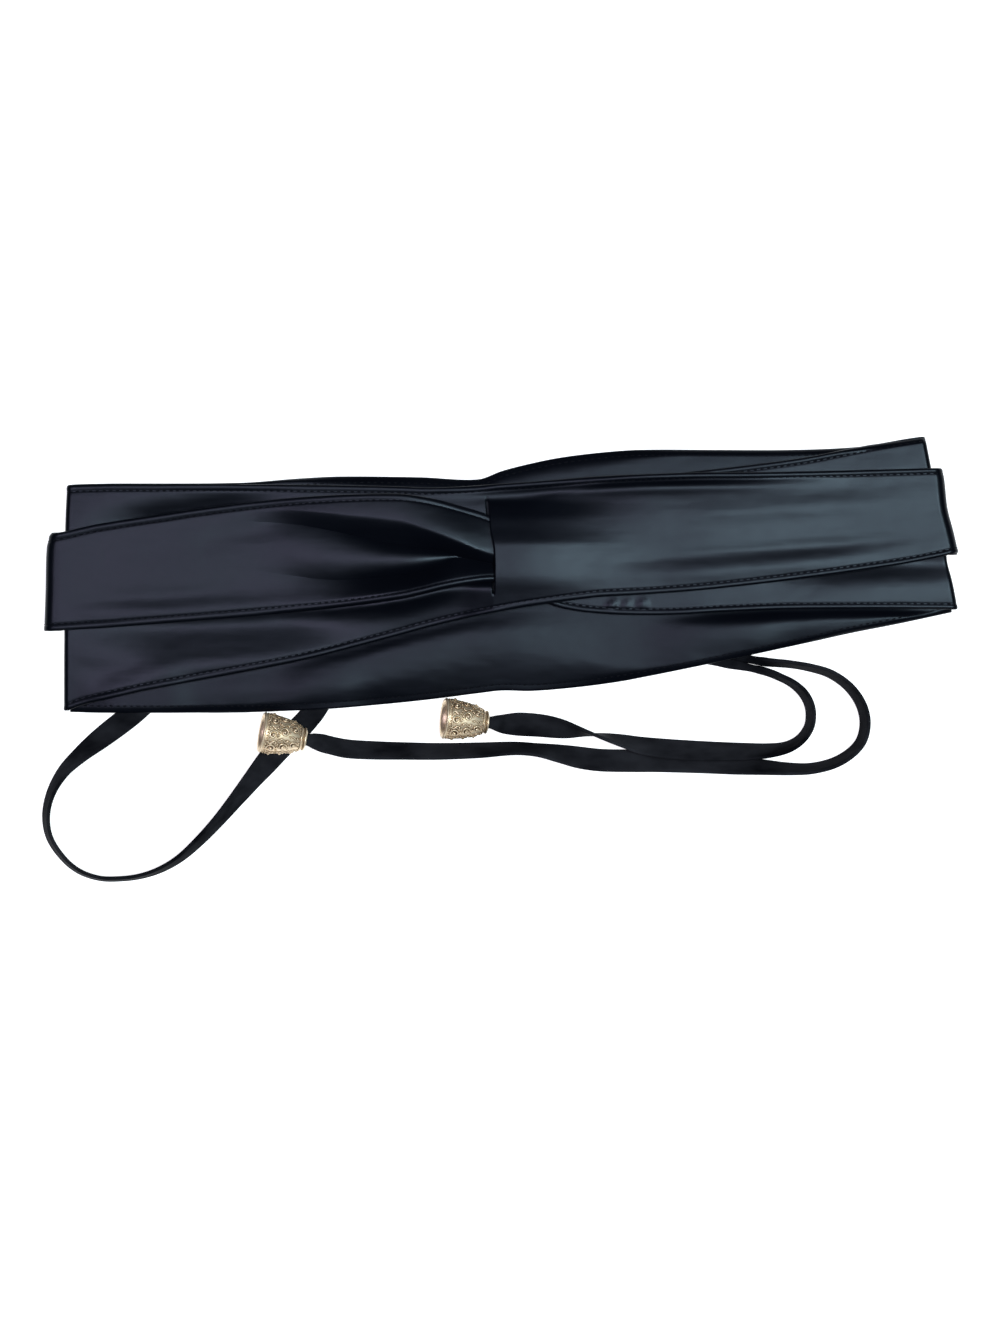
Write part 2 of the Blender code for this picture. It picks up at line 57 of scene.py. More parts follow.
# The cloth: two faces of satin over an interfacing, the air between its layers, and the gaps
# where one stretch ends and the next begins.
WALL = 1.2 * MM
GAP = 0.45 * MM
PITCH = WALL + GAP
TAILS = 1.8 * MM
SEAM = 0.3 * MM
TAILS_SEAM = 0.5 * MM

# How far a layer hangs on past the edge of what lies under it before it is down again.
MARGIN = 1 * MM
TAILS_FADE = 60 * MM
STRIP_FADE = 8 * MM

# The extra height that both folds keep open above the back wrap, and how far the strap sinks
# past the left fold.
PILLOW = 1.6 * MM
FOLD_PROBE = 3 * MM
FOLD_STEPS = 12
STRAP_DROOP = 0.3 * MM
DROOP_REACH = (1 * MM, 9 * MM)

# The slit in the front panel, and the stretch in which the strap steps down through it.
SLIT_WIDTH = 0.8 * MM
SLIT_STEP = 9 * MM
STRAP_END = 7 * MM
SLIT_PARTS = (0.124, 0.841)

# The hump that the gathered strap raises in the panel just past the slit, in mm, and where
# along the panel it falls and has gone.
# y, height over the base
HUMP_PROFILE = (
    (-60, 3.4), (-16, 3.4), (-10, 4.4), (-5, 5.5), (-1, 6.1), (5, 6.3), (13, 6.2), (14.2, 6),
    (19, 4.7), (25, 3.1), (28, 1.8), (31, 0.5), (33, 0), (60, 0),
)
HUMP_REACH = (6 * MM, 76 * MM)
LONG_RISE = 1.8 * MM
LONG_REACH = (60 * MM, 185 * MM)

# How far the panel is pushed up below the strap's lower hem, in mm, and the share of the
# hump past the slit that it has reached towards its own lower hem.
# x, height, share
HEM_LIFT = (
    (-110, 0, 0), (-92, 0.4, 0), (-70, 1.9, 0), (-57, 2.9, 0), (-43, 3.7, 0), (-30, 3.8, 0.08),
    (-18, 3.3, 0.35), (-10, 2.75, 0.75), (-3.4, 2.3, 1),
)
HEM_LIFT_REACH = (4 * MM, 6 * MM, 1.2 * MM)
HEM_LIFT_BEND = 1.4
PANEL_HEM_FADE = 5 * MM

# The long edges of each stretch, in mm.
# x, top edge y, bottom edge y
PANEL = (
    (-192.1, 39.2, -60.4), (-185.5, 39.6, -57.9), (-176.7, 39.8, -55.6), (-167.9, 39.9, -53.6),
    (-154.7, 39.8, -50.8), (-132.7, 39.8, -46.6), (-110.6, 39.7, -42.5), (-88.6, 39.5, -38),
    (-66.6, 39.2, -32.5), (-44.6, 38.7, -26.7), (-31.4, 38.2, -23.1), (-13.8, 38.9, -19),
    (-0.6, 39.9, -16.4), (8.3, 40.4, -14.8), (21.5, 41.4, -12.8), (34.7, 42.5, -11),
    (43.5, 43.1, -10), (65.5, 44, -8.7), (87.5, 44.7, -7), (109.5, 44.8, -4.7), (131.6, 45.2, -2),
    (153.6, 45.7, 1), (175.6, 46.3, 4.3), (193.2, 46.8, 7.7), (200, 47, 9.4),
)
STRIP = (
    (-199.9, 17.6, -25.1), (-191.7, 18.9, -24.6), (-185.5, 20.3, -24.2), (-176.7, 22.2, -23.7),
    (-154.7, 25.6, -22.1), (-132.7, 28.9, -20.3), (-110.6, 31.7, -18.5), (-88.6, 33.8, -16.5),
    (-66.6, 35, -14.1), (-44.6, 35.2, -11), (-35.8, 34.2, -9.1), (-27, 32.5, -6.9),
    (-18.2, 30.1, -5.1), (-9.4, 27.5, -3.8), (-4, 25.6, -3.4), (2.1, 24.6, -3.9), (12, 28, -8.8),
    (23.7, 32.2, -14), (34, 35.5, -16.2), (43.5, 38.2, -17.2), (54.5, 41, -17.8),
    (73.4, 44, -17.8), (96.3, 46.6, -16.6), (119.1, 49.4, -15.6), (135.4, 51.8, -15.3),
    (153.6, 55.3, -15.2), (168, 58, -15.2), (185.3, 60.8, -15.3), (200.3, 61.6, -15.4),
)
BACK = (
    (-192.1, 39.4, -60.6), (-176.6, 40, -61), (-115, 40.4, -60.8), (-88.6, 42.4, -59.9),
    (-70.9, 43.3, -58.9), (-35.8, 43, -55.6), (-10.2, 42.1, -52.4), (0.3, 45.8, -51.2),
    (12.6, 49, -51.4), (25.9, 51.7, -50.5), (43.5, 53.9, -48.5), (61.1, 55.1, -45.6),
    (96.3, 55, -38.4), (127, 55, -31.8), (153.5, 56, -25.8), (175.4, 58.4, -21.5),
    (200.3, 62.2, -16.2),
)
HIDDEN = (
    (-195.5, 17, -24.9), (-188.5, 17.6, -24.5), (-180, 22, -31), (-165, 29, -42), (-115, 31, -45),
    (-70.9, 33.5, -44.5), (-9.4, 33.9, -41), (43.5, 43, -35), (85, 44.5, -23), (120, 44.8, -14),
    (153.5, 45, -6), (177.7, 45.2, 5.2), (197, 46.3, 9.7),
)

# The widths in mm over which the back wrap's long edges sink to the surface.
# x, at the top edge, at the bottom edge
BACK_ROLL = (
    (-200, 0.8, 2.6), (-100, 1, 5), (-75, 3.5, 9), (-50, 5.5, 14), (-30, 5.5, 18), (0, 7, 21),
    (30, 8, 16), (50, 6.5, 7), (75, 3.4, 3.6), (110, 3, 2.8), (200, 2, 2),
)

# The outer line of each fold, and the line of the slit, in mm.
# y, x
LEFT_FOLD = ((39.2, -191.4), (20, -192.1), (-60.9, -192.8))
STRAP_FOLD = ((17.6, -198.8), (11.4, -200.3), (-7, -200.8), (-25.5, -201.4))
BACK_FOLD = ((60.7, 186.8), (-15.9, 201.3))
PANEL_FOLD = ((47, 194), (42.2, 195.2), (29, 196.7), (18.5, 199.4), (9.2, 201.5))
SLIT = ((32.6, -6.3), (19.4, -5.2), (10.6, -3.6), (-8.1, -3.4))

# The strap's gathers from its top edge to its bottom edge, in mm: ridges and the troughs
# between them, each a line along the strap with its height over the flat cloth.  The y of the
# ridge at the lower hem is counted from the strap's bottom edge.
# x, y, height
UPPER_RIDGE = (
    (-110, 28.6, 0.4), (-97.4, 28.6, 1.1), (-88, 28, 1.8), (-70.9, 26.4, 3.2), (-44.6, 23.4, 4.4),
    (-35.8, 20.9, 4.7), (-27, 17.6, 4.7), (-18.2, 14.2, 4.3), (-11.6, 11.4, 3.6), (-5, 9.2, 2.8),
    (3, 8, 2.4), (17, 8, 1), (36, 10, 0),
)
UPPER_TROUGH = (
    (-110, 23.5, 0), (-88.6, 21.6, 0.1), (-71, 18.3, 0.4), (-53.4, 14.5, 0.5), (-35.8, 12, 0.5),
    (-27, 10.2, 0.5), (-20, 8, 0.5), (-15, 6.9, 0.5), (-12, 6.3, 0.5), (-4, 4.7, 0.5),
    (10, 4.1, 0.2), (36, 4.1, 0),
)
TONGUE = (
    (-110, 13, 0.2), (-101.8, 12.3, 0.5), (-75.4, 7.7, 1.8), (-44.6, 6.2, 2.8), (-34, 6.6, 2.5),
    (-25, 7.4, 1.3), (-20, 7.6, 0.5), (-15, 6.8, 0.4), (-4, 4.6, 0.4), (10, 4, 0.2), (36, 4, 0),
)
LOWER_TROUGH = (
    (-110, 2, 0), (-75.4, -2.4, 0.3), (-44.6, -0.6, 0.5), (-34, 1.2, 0.5), (-27, 3.8, 0.45),
    (-20, 7, 0.3), (-15, 6.8, 0.25), (-12, 6.25, 0.25), (-4, 4.65, 0.25), (10, 4.05, 0.1),
    (36, 4.05, 0),
)
HEM_RIDGE = (
    (-110, 3.2, 0.2), (-88, 3.2, 1), (-70, 3, 2.1), (-57, 2.8, 3.1), (-43, 2.4, 3.9),
    (-30, 2.2, 4.1), (-15, 2.1, 3.5), (-4, 2, 2.5), (3, 2, 1.9), (20, 2.2, 0.4), (36, 2.4, 0),
)
HEM_RIDGE_DROP = 0.6 * MM

# The share of the upper ridge's height that is left at the strap's top edge.
# x in mm, share
TOP_EDGE = ((-110, 0.8), (-50, 0.8), (-32, 0.55), (-18, 0.25), (-5, 0.1), (36, 0))

# How sharply each slope bends, where the tongue may run between its troughs, how far apart
# these stay, and where the gathers start, are full, fall and have gone.
TOP_BEND, GATHER_BEND, TONGUE_BEND = 1.6, 1.3, 2.0
TONGUE_BOUNDS = (0.3, 0.7)
TROUGHS_APART = 0.06 * MM
GATHERED = (-124 * MM, -84 * MM, 24 * MM, 36 * MM)
CREASED = math.radians(18)

# The rows of the strap that run along its troughs, as parts of its width, with close ones, and
# the insets between which the gathers' walls turn upright.
TROUGH_PARTS = (0.40, 0.72)
CLOSE_ROWS = (-0.008, -0.003, 0, 0.003, 0.008)
UPRIGHT_INSETS = (4 * MM, 7 * MM)

# The rows of a stretch near its long edges, as insets from the edge in mm, those of the hidden
# tails, the columns close to the slit's lips, in mm, and how near to one another rows may be.
HEM_ROWS = (0, 0.08, 0.25, 0.6, 1, 1.4, 1.8, 2.1, 2.4, 2.7, 3, 3.3, 3.6, 4, 4.8)
TAIL_ROWS = (0, 0.06, 0.18, 0.4, 0.8, 1.6)
LIP_COLUMNS = (0, 0.08, 0.25, 0.6, 1.1)
ROW_CLEAR = 0.4
MEETING_STEPS = 6
HALF_PANEL, HALF_SASH = 185 * MM, 200 * MM

# The hidden tails' two layers: heights in mm.
TAIL_LAYERS = ((0, 0.85), (0.95, 1.8))

# The hems: the stitch line's inset in mm at the left and right end of the sash, its groove, and
# the soft ridge between it and the edge.
STITCH_INSET = (3.1, 2.4)
GROOVE = 0.13 * MM
GROOVE_HALF = 0.42 * MM
HEM_PUFF = 0.16 * MM
HEM_PUFF_HALF = 0.75 * MM
HEM_PUFF_PLACE = 0.48
HEM_START = 0.5 * MM
BACK_HEM = 0.15

# A stitch: its size, its rings as shares of its length and radius, and in radii how wide it
# is, how far its ends dip and how high its middle stands.
STITCH_PITCH = 2.95 * MM
STITCH_LENGTH = 1.75 * MM
STITCH_RADIUS = 0.24 * MM
STITCH_SIDES = 6
STITCH_RINGS = ((0, 0.35), (0.12, 0.85), (0.5, 1), (0.88, 0.85), (1, 0.35))
STITCH_BREADTH, STITCH_DIP, STITCH_RISE = 1.15, 1.4, 0.55

# The ties: flat ribbons that stand on edge in their bends, just clear of the surface; the
# plain ribbon's width, wall and lift in mm, and its cross-section in shares of the half width
# and half wall, round one quarter of it.
FLOOR_GAP = 0.15 * MM
TIE_STEPS = 8
PLAIN_RIBBON = (10.5, 1.6, 0)
TIE_SECTION = ((1, 0), (0.985, 0.42), (0.95, 0.72), (0.90, 0.92), (0.84, 1), (0.66, 0.97),
               (0.40, 0.93), (0.14, 0.92))

# Where a tie comes out under the sash, and how it lifts the cloth, in mm.
# from x, from y, to x, to y, half width, height, and how far past that it fades
TIE_LIFTS = (
    (-153.7, -53.7, -164, -62.5, 6.6, 1.9, 22),
    (-78, -53.7, -84.2, -62.5, 6.6, 1.9, 22),
    (89, -35, 108, -38, 3, 2.3, 34),
)

# The route of each tie, in mm; lean is the ribbon's angle from lying flat, in degrees.
# x, y, lean, and where it isn't the plain ribbon: width, wall, lift
LEFT_LOOP = (
    (-153.7, -53.7, 0, 9, 1.4), (-162.5, -61.2, 0, 10, 1.6), (-176.6, -72.2, 26),
    (-185.4, -79.4, 46), (-192.9, -86.9, 58), (-198.3, -96.4, 66), (-200.4, -106.5, 69),
    (-198.7, -116.2, 71), (-192.4, -125.4, 74), (-185.4, -130.9, 77), (-176.6, -133.8, 80),
    (-167.8, -134, 81), (-159, -132.9, 81), (-150.2, -130, 79), (-141.7, -125.1, 76),
    (-133.3, -117.7, 71), (-124.6, -108.5, 65), (-115.9, -98.1, 54), (-107.3, -87.5, 34),
    (-100.2, -79.1, 4), (-92, -70.7, 0), (-83.3, -61.2, 0, 10, 1.6), (-78, -53.7, 0, 9, 1.4),
)
OUTER_TIE = (
    (92, -31, 0, 5, 1.9), (97.5, -33.1, 0, 4.8, 1.9), (103, -35.3, 0, 4.7, 1.9),
    (108, -36.9, 0, 3.9, 2), (113, -38, 30, 3.7, 2.1), (118.3, -38.7, 62, 5.6, 1.9),
    (127, -39.5, 76, 9.2, 1.7), (135.8, -41, 77), (144.9, -43.8, 76), (152.9, -49.4, 75),
    (158.3, -57, 74), (160.2, -65.1, 74), (158.6, -73, 74), (153.9, -78.6, 73), (146.4, -83, 71),
    (136.7, -85.4, 69), (127, -85.6, 64), (116.1, -84.9, 55), (102.8, -84.1, 44), (87.4, -83, 33),
    (69.9, -82.2, 22), (54.5, -82.1, 20), (43.5, -81.8, 20), (34.7, -80.7, 25), (25.9, -79, 43),
    (16, -77.3, 60), (6, -76.6, 61), (-9.4, -77.4, 54), (-27, -77.9, 50), (-44.5, -77.7, 47),
    (-57.8, -77.4, 43), (-68.3, -76.7, 42), (-76.1, -75, 34, 9.2, 1.8, 1.4),
)
INNER_TIE = (
    (89, -37.2, 0, 4, 1.9), (95, -38.2, 0, 4.2, 1.9), (100.6, -39.3, 0, 4.4, 1.9),
    (106, -40.3, 0, 3.9, 2), (111.5, -41.5, 12, 3.3, 2.1), (117.4, -43, 56, 4.2, 2),
    (122.8, -45.2, 73, 7.2, 1.8), (128.4, -48.2, 76, 10, 1.6), (132.6, -51.9, 75),
    (135.2, -56.2, 75), (136.3, -61.2, 75), (135.5, -67.1, 75), (131.7, -72.6, 73),
    (125.7, -76.1, 67), (117.4, -77.6, 57), (108.6, -78, 48), (99.3, -78, 42), (86.1, -77.6, 37),
    (72.1, -76.7, 37), (61.1, -75.2, 48), (53.3, -73.3, 62), (45, -71.4, 80), (36.2, -69.6, 106),
    (27, -68, 142), (17.4, -66.6, 165), (8, -66, 172, 10.5, 1.6, 0.3),
    (1.5, -65.9, 178, 8.8, 1.9, 1.2),
)

# A bell cap, turned about its axis from the mouth: height, radius, in mm.  It lies on its side,
# so its axis tilts by the slope of its wall.
BELL_OUTER = ((20, 4.1), (19.6, 4.8), (18.6, 4.7), (17.8, 5.3), (14.5, 6.6), (10, 7.6), (5.3, 8.3),
              (1.2, 8.7), (0, 8.5))
BELL_INNER = ((0.4, 7.6), (5.3, 7.1), (10, 6.3), (14.5, 5.2), (17.4, 4.1), (18.4, 3.5),
              (19.8, 3.5))
BELL_TILT = math.atan2(8.8 - 5.0, 20.0)
BELL_SIDES = 64

# Rows of relief on its wall, in mm: height, how many, scroll size, wire radius, boss radius
SCROLL_ROWS = ((4.6, 8, 2.2, 0.44, 0.8), (9.6, 7, 2.1, 0.42, 0.74), (14.2, 6, 1.8, 0.38, 0.66))
BEAD_ROWS = ((2.05, 40, 0.38), (7.15, 26, 0.44), (12.1, 22, 0.4), (16.6, 18, 0.4))
RING_ROWS = ((0.75, 0.42), (2.85, 0.22), (17.4, 0.3), (19.3, 0.42))

# A scroll: the angle in degrees it starts at, its turns, and the share of its size it winds in.
SCROLL_START, SCROLL_TURNS, SCROLL_WIND = 70, 1.35, 0.78

# The stem between two scrolls: its place from one to the next, its bend and length in scroll
# sizes and its radius in wire radii, and the same for the height and radius of its granules.
STEM_PLACE, STEM_BEND, STEM_LENGTH, STEM_RADIUS = 0.52, 0.28, 1.7, 0.85
STEM_BEADS = ((0.75, 1.3), (-0.80, 1.2))

# Where the bells lie, in mm and degrees: mouth centre x, mouth centre y, heading, lift
BELL_OF_OUTER_TIE = (-105.3, -69.2, -10.0, 2.6)
BELL_OF_INNER_TIE = (-25.5, -63.2, -5.5, FLOOR_GAP / MM + 0.45)

# A tie's end in its bell: distance from the mouth along the axis, width, wall, in mm
BELL_END = ((23.6, 6.8, 3), (20.8, 5.2, 3.9), (18, 5.2, 3.9), (16.4, 7.4, 7), (13.2, 7.6, 7.4),
            (11.8, 4.6, 4.4))

# Soft creases, in mm: height, half widths to the left and right of the way each runs, and its
# points x, y.  They rise and end over a share of their length, and the strap's end at the slit.
PANEL_CREASES = (
    (-2.2, 6.5, 6.5, (-188, 18), (-150, 24), (-125, 27.5), (-85, 32)),
    (-1.7, 5, 8.5, (-200, -22.5), (-150, -23), (-110, -21.5), (-75, -18.5), (-38, -12.5)),
    (0.55, 4.5, 4.5, (-182, -49), (-140, -40), (-105, -37.5), (-64, -30)),
    (-0.35, 5, 5, (-192, -40), (-172, -43), (-146, -41)),
    (1.1, 3, 3.4, (-50, 37), (-14, 37.2), (20, 39.8), (65, 42.3), (100, 42.8), (170, 43.8)),
    (-0.85, 3.2, 3.2, (-62, 36), (-30, 34.6), (-5, 34.8), (25, 36.9), (60, 38.4), (95, 39.2),
     (150, 40.6)),
    (0.45, 5, 5, (40, 24), (95, 27), (140, 30), (195, 34)),
    (0.45, 4, 4, (34, -2), (95, 1.5), (130, 4.5), (185, 10)),
    (-0.4, 3.4, 3.4, (34, 3), (72, 7.4), (105, 10), (150, 13), (205, 19)),
)
STRAP_CREASES = (
    (-0.3, 4.5, 4.5, (-200, -9), (-165, -10.5), (-135, -9.5), (-100, -6)),
    (0.45, 4.5, 4.5, (-200, -17), (-150, -16.5), (-105, -13.5), (-66, -9.6)),
    (-0.05, 1.2, 1.2, (-174.2, 14), (-174, 2)),
    (-0.05, 1.4, 1.4, (-130.2, 17), (-130.6, 3)),
    (-0.3, 5, 5, (-140, 13), (-112, 18.5), (-95, 22.5), (-80, 22)),
)
UNDER_CREASES = (
    (0.75, 1.2, 1.6, (52.5, -8), (46.8, -16.4)),
    (0.55, 1.1, 1.4, (58, -8), (53.4, -16.4)),
    (0.65, 1.4, 1.2, (64, -8), (60.8, -16.2)),
    (-1.6, 6, 6, (108, 1), (140, 3), (165, 4.6), (185, 4.8), (228, 5)),
)
BACK_CREASES = (
    (0.4, 5, 5, (-140, -52), (-95, -50), (-60, -46)),
    (1.3, 6, 18, (-112, -50.5), (-66, -39.5), (-44, -33.5), (-14, -27), (10, -24.5), (30, -25),
     (50, -26.5)),
    (2.4, 5, 13, (58, -24.5), (98, -23.3), (130, -21.2), (165, -18.8), (215, -15.5)),
)
CREASE_ENDS = 0.38
STRAP_CREASES_END = (-14 * MM, -8 * MM)
SEEN_FADE = 4 * MM

# The middle of the wound cloth in the tables above, which becomes the origin.
CENTRE = Vector((0, -0.1, 0)) * MM

# The camera, straight above: its place and lens, and half the floor's side, in m.
CAMERA = (-0.00055, -0.04043, 1.391)
LENS = 85
FLOOR_HALF = 30


# ---- curves and outlines

def blend(a, b, share):
    return a + (b - a) * share


def smooth(start, end, value):
    """0 before start, 1 after end, and a soft slope between."""
    share = np.clip((value - start) / (end - start), 0, 1)
    return share * share * (3 - 2 * share)


def curve_through(keys, values, at):
    """Values on a smooth curve through a table whose keys rise."""
    at = np.clip(at, keys[0], keys[-1])
    i = np.clip(np.searchsorted(keys, at, side="right") - 1, 0, len(keys) - 2)
    rise, run = np.pad(values, 1, "edge"), np.pad(keys, 1, "edge")
    slopes = (rise[2:] - rise[:-2]) / (run[2:] - run[:-2])
    span = keys[i + 1] - keys[i]
    s = (at - keys[i]) / span
    return ((1 + 2 * s) * (1 - s) ** 2 * values[i] + s * (1 - s) ** 2 * span * slopes[i]
            + s * s * (3 - 2 * s) * values[i + 1] - s * s * (1 - s) * span * slopes[i + 1])


def curve(table, at, column=1, unit=MM):
    """A column of a table at these places along its first column."""
    rows = np.array(table, float)
    return curve_through(rows[:, 0] * MM, rows[:, column] * unit, at)


def curves(table, at):
    """The two other columns of a table at these places along its first."""
    return curve(table, at), curve(table, at, 2)


class Outline:
    """The two long edges of a stretch of cloth."""

    def __init__(self, sections):
        self.sections = sections

    def edges(self, x):
        return curves(self.sections, x)

    def row(self, x, part, inset=0.0):
        """The y at x of a row: a part of the width below the top edge, and an inset from there."""
        return blend(*self.edges(x), part) + inset

    def inside(self, x, y):
        """The distance to the nearer long edge, less than 0 outside."""
        top, bottom = self.edges(x)
        return np.minimum(top - y, y - bottom)

    def cover(self, fade, x, y):
        """1 on the stretch and just past its long edges, fading to 0."""
        return 1 - smooth(MARGIN, MARGIN + fade, -self.inside(x, y))


class GatheredStrip(Outline):
    """The strap, whose rows run along the two troughs between its gathers."""

    def row(self, x, part, inset=0.0):
        at = np.clip(x, GATHERED[0], GATHERED[3])
        hem = HEM_ROWS[-1] * MM
        first, last = self.edges(at)
        first, last = first - hem, last + hem
        to_upper, to_lower = ((first - y) / (first - last) for y in troughs(at)[::2])
        upper, lower = TROUGH_PARTS
        above = part / upper * to_upper
        between = blend(to_upper, to_lower, (part - upper) / (lower - upper))
        below = blend(to_lower, 1, (part - lower) / (1 - lower))
        share = np.where(part < upper, above, np.where(part < lower, between, below))
        top, bottom = self.edges(x)
        return np.where((part <= 0) | (part >= 1), super().row(x, part, inset),
                        blend(top - hem, bottom + hem, share))


def troughs(x):
    """The y and height of the strap's two troughs, which meet before the slit."""
    upper_y, upper = curves(UPPER_TROUGH, x)
    lower_y, lower = curves(LOWER_TROUGH, x)
    return upper_y, upper, np.minimum(lower_y, upper_y - TROUGHS_APART), lower


def cross_line(table):
    """A line across the cloth, as a function from y to x."""
    return lambda y: curve(table[::-1], y)


panel, strip, back, hidden = (Outline(table) for table in (PANEL, STRIP, BACK, HIDDEN))
gathered = GatheredStrip(STRIP)
left_fold, strap_fold, back_fold, panel_fold, slit = (
    cross_line(table) for table in (LEFT_FOLD, STRAP_FOLD, BACK_FOLD, PANEL_FOLD, SLIT))


# ---- heights, from the surface up

def tie_lift(x, y):
    """How far the ties' hidden ends lift the cloth that lies on them."""
    lift = np.zeros(np.broadcast(x, y).shape)
    for row in TIE_LIFTS:
        x0, y0, x1, y1, half, height, fade = (value * MM for value in row)
        run_x, run_y = x1 - x0, y1 - y0
        along = (run_x * (x - x0) + run_y * (y - y0)) / (run_x ** 2 + run_y ** 2)
        share = np.clip(along, 0, 1)
        away = np.hypot(x - blend(x0, x1, share), y - blend(y0, y1, share))
        lift = np.maximum(lift, height * (1 - smooth(half, half + fade, away)))
    return lift


def sunk(x, y):
    """How far the back wrap has sunk: 0 inside, 1 at its long edges."""
    top, bottom = back.edges(x)
    top_width, bottom_width = curves(BACK_ROLL, x)
    share = np.minimum((top - y) / top_width, (y - bottom) / bottom_width)
    return (1 - np.clip(share, 0, 1)) ** 2


def back_height(x, y):
    """The middle of the back wrap's wall, which lies on the hidden layers and the ties."""
    on_tails = hidden.cover(TAILS_FADE, x, y) * (TAILS + GAP) * (1 - sunk(x, y))
    return WALL / 2 + np.hypot(on_tails, tie_lift(x, y))


def base_height(x, y):
    """The middle of the first wall on the back wrap, kept open by both folds."""
    return back_height(x, y) + PITCH + PILLOW


def strip_level(x, y):
    """How far the strap lies above the base: it steps down through the slit, and at its fold."""
    past_slit = smooth(SLIT_WIDTH, SLIT_STEP, x - slit(y))
    return PITCH * (1 - past_slit) - STRAP_DROOP * smooth(*DROOP_REACH, left_fold(y) - x)


def gathers(x, y):
    """The height of the gathers that run into the slit, round on top and sharp in the troughs."""
    top, bottom = strip.edges(x)
    upper_y, upper = curves(UPPER_RIDGE, x)
    trough_y, trough, lower_y, lower = troughs(x)
    tongue_y, tongue = curves(TONGUE, x)
    tongue_y = np.clip(tongue_y, *(blend(lower_y, trough_y, part) for part in TONGUE_BOUNDS))
    hem_inset, hem = curves(HEM_RIDGE, x)
    hem_y = bottom + hem_inset

    above = np.clip((y - upper_y) / (top - upper_y), 0, 1)
    height = upper * blend(1, curve(TOP_EDGE, x, unit=1), above ** TOP_BEND)
    for start, high_y, high, low_y, low, bend in (
            (upper_y, upper_y, upper, trough_y, trough, GATHER_BEND),
            (trough_y, tongue_y, tongue, trough_y, trough, TONGUE_BEND),
            (tongue_y, tongue_y, tongue, lower_y, lower, TONGUE_BEND),
            (lower_y, hem_y, hem, lower_y, lower, GATHER_BEND)):
        share = np.clip((high_y - y) / (high_y - low_y), 0, 1)
        height = np.where(y < start, high - (high - low) * share ** bend, height)
    past = np.clip((hem_y - y) / hem_inset, 0, 1)
    edge = np.maximum(hem - HEM_RIDGE_DROP, 0)
    height = np.where(y < hem_y, blend(hem, edge, past ** 2), height)
    start, full, fall, end = GATHERED
    return height * smooth(start, full, x) * (1 - smooth(fall, end, x))


def strip_height(x, y):
    return base_height(x, y) + strip_level(x, y) + gathers(x, y)


def hem_lift(x, y):
    """How far the strap's lower hem pushes up the panel beside it."""
    lift = curve(HEM_LIFT, x)
    reached = curve(HEM_LIFT, x, 2, 1)
    past = strip.edges(x)[1] - y
    beyond = np.maximum(past, 0)
    under, beside, settled = HEM_LIFT_REACH
    near_edge = smooth(0, PANEL_HEM_FADE, y - panel.edges(x)[1])
    falling = lift * np.exp(-(beyond / beside) ** HEM_LIFT_BEND) * near_edge
    outside = blend(falling, curve(HUMP_PROFILE, y), reached * (1 - np.exp(-beyond / settled)))
    return np.where(past > 0, outside, lift * (1 - smooth(0, under, -past)))


def panel_height(x, y):
    """The front panel: on the base at its left part, and over the strip past the slit."""
    past = x - slit(y)
    along = 1 - smooth(*HUMP_REACH, past)
    flat = PITCH * strip.cover(STRIP_FADE, x, y) + LONG_RISE * (1 - smooth(*LONG_REACH, x))
    over = blend(flat, curve(HUMP_PROFILE, y), along)
    return base_height(x, y) + np.where(past < 0, hem_lift(x, y), over)


def floor_height(x, y):
    return np.full(np.broadcast(x, y).shape, WALL / 2)


# ---- soft creases

def creases(table, x, y):
    """The height of soft ridges and troughs, each along a line of points."""
    total = np.zeros(np.broadcast(x, y).shape)
    for height, left, right, *points in table:
        nodes = np.array(points) * MM
        runs = np.diff(nodes, axis=0)
        lengths = np.hypot(*runs.T)
        before = running(lengths)
        nearest = np.full(total.shape, np.inf)
        along = np.zeros(total.shape)
        half = np.full(total.shape, left * MM)
        for (x0, y0), (run_x, run_y), length, start in zip(nodes, runs, lengths, before):
            share = np.clip(((x - x0) * run_x + (y - y0) * run_y) / length ** 2, 0, 1)
            away = np.hypot(x - x0 - run_x * share, y - y0 - run_y * share)
            side = run_x * (y - y0) - run_y * (x - x0)
            along = np.where(away < nearest, start + share * length, along)
            half = np.where(away < nearest, np.where(side > 0, left, right) * MM, half)
            nearest = np.minimum(nearest, away)
        share = along / before[-1]
        ends = smooth(0, CREASE_ENDS, share) * smooth(0, CREASE_ENDS, 1 - share)
        total += height * MM * ends * np.exp(-(nearest / half) ** 2)
    return total


def seen(x, y, *above):
    """1 where none of the stretches above covers this place, fading to 0 under them."""
    return math.prod(smooth(0, SEEN_FADE, -outline.inside(x, y)) for outline in above)


def back_surface(x, y):
    return back_height(x, y) + creases(BACK_CREASES, x, y) * seen(x, y, panel, strip)


def strap_surface(x, y):
    on_top = 1 - smooth(*STRAP_CREASES_END, x - slit(y))
    return strip_height(x, y) + creases(STRAP_CREASES, x, y) * on_top


def under_surface(x, y):
    soft = creases(UNDER_CREASES, x, y)
    return strip_height(x, y) + np.where(soft > 0, soft * seen(x, y, panel), soft)


def panel_surface(x, y):
    soft = creases(PANEL_CREASES, x, y)
    covered = np.where((soft > 0) & (x < 0), seen(x, y, strip), 1)
    return panel_height(x, y) + soft * covered


# ---- grids of points

def running(steps):
    """The sums of the steps so far, from 0 on."""
    return np.concatenate(([0], np.cumsum(steps)))


def points_at(places, keys, points):
    """Points between the given ones, by keys that rise from one to the next."""
    return np.stack([np.interp(places, keys, column) for column in points.T], axis=-1)


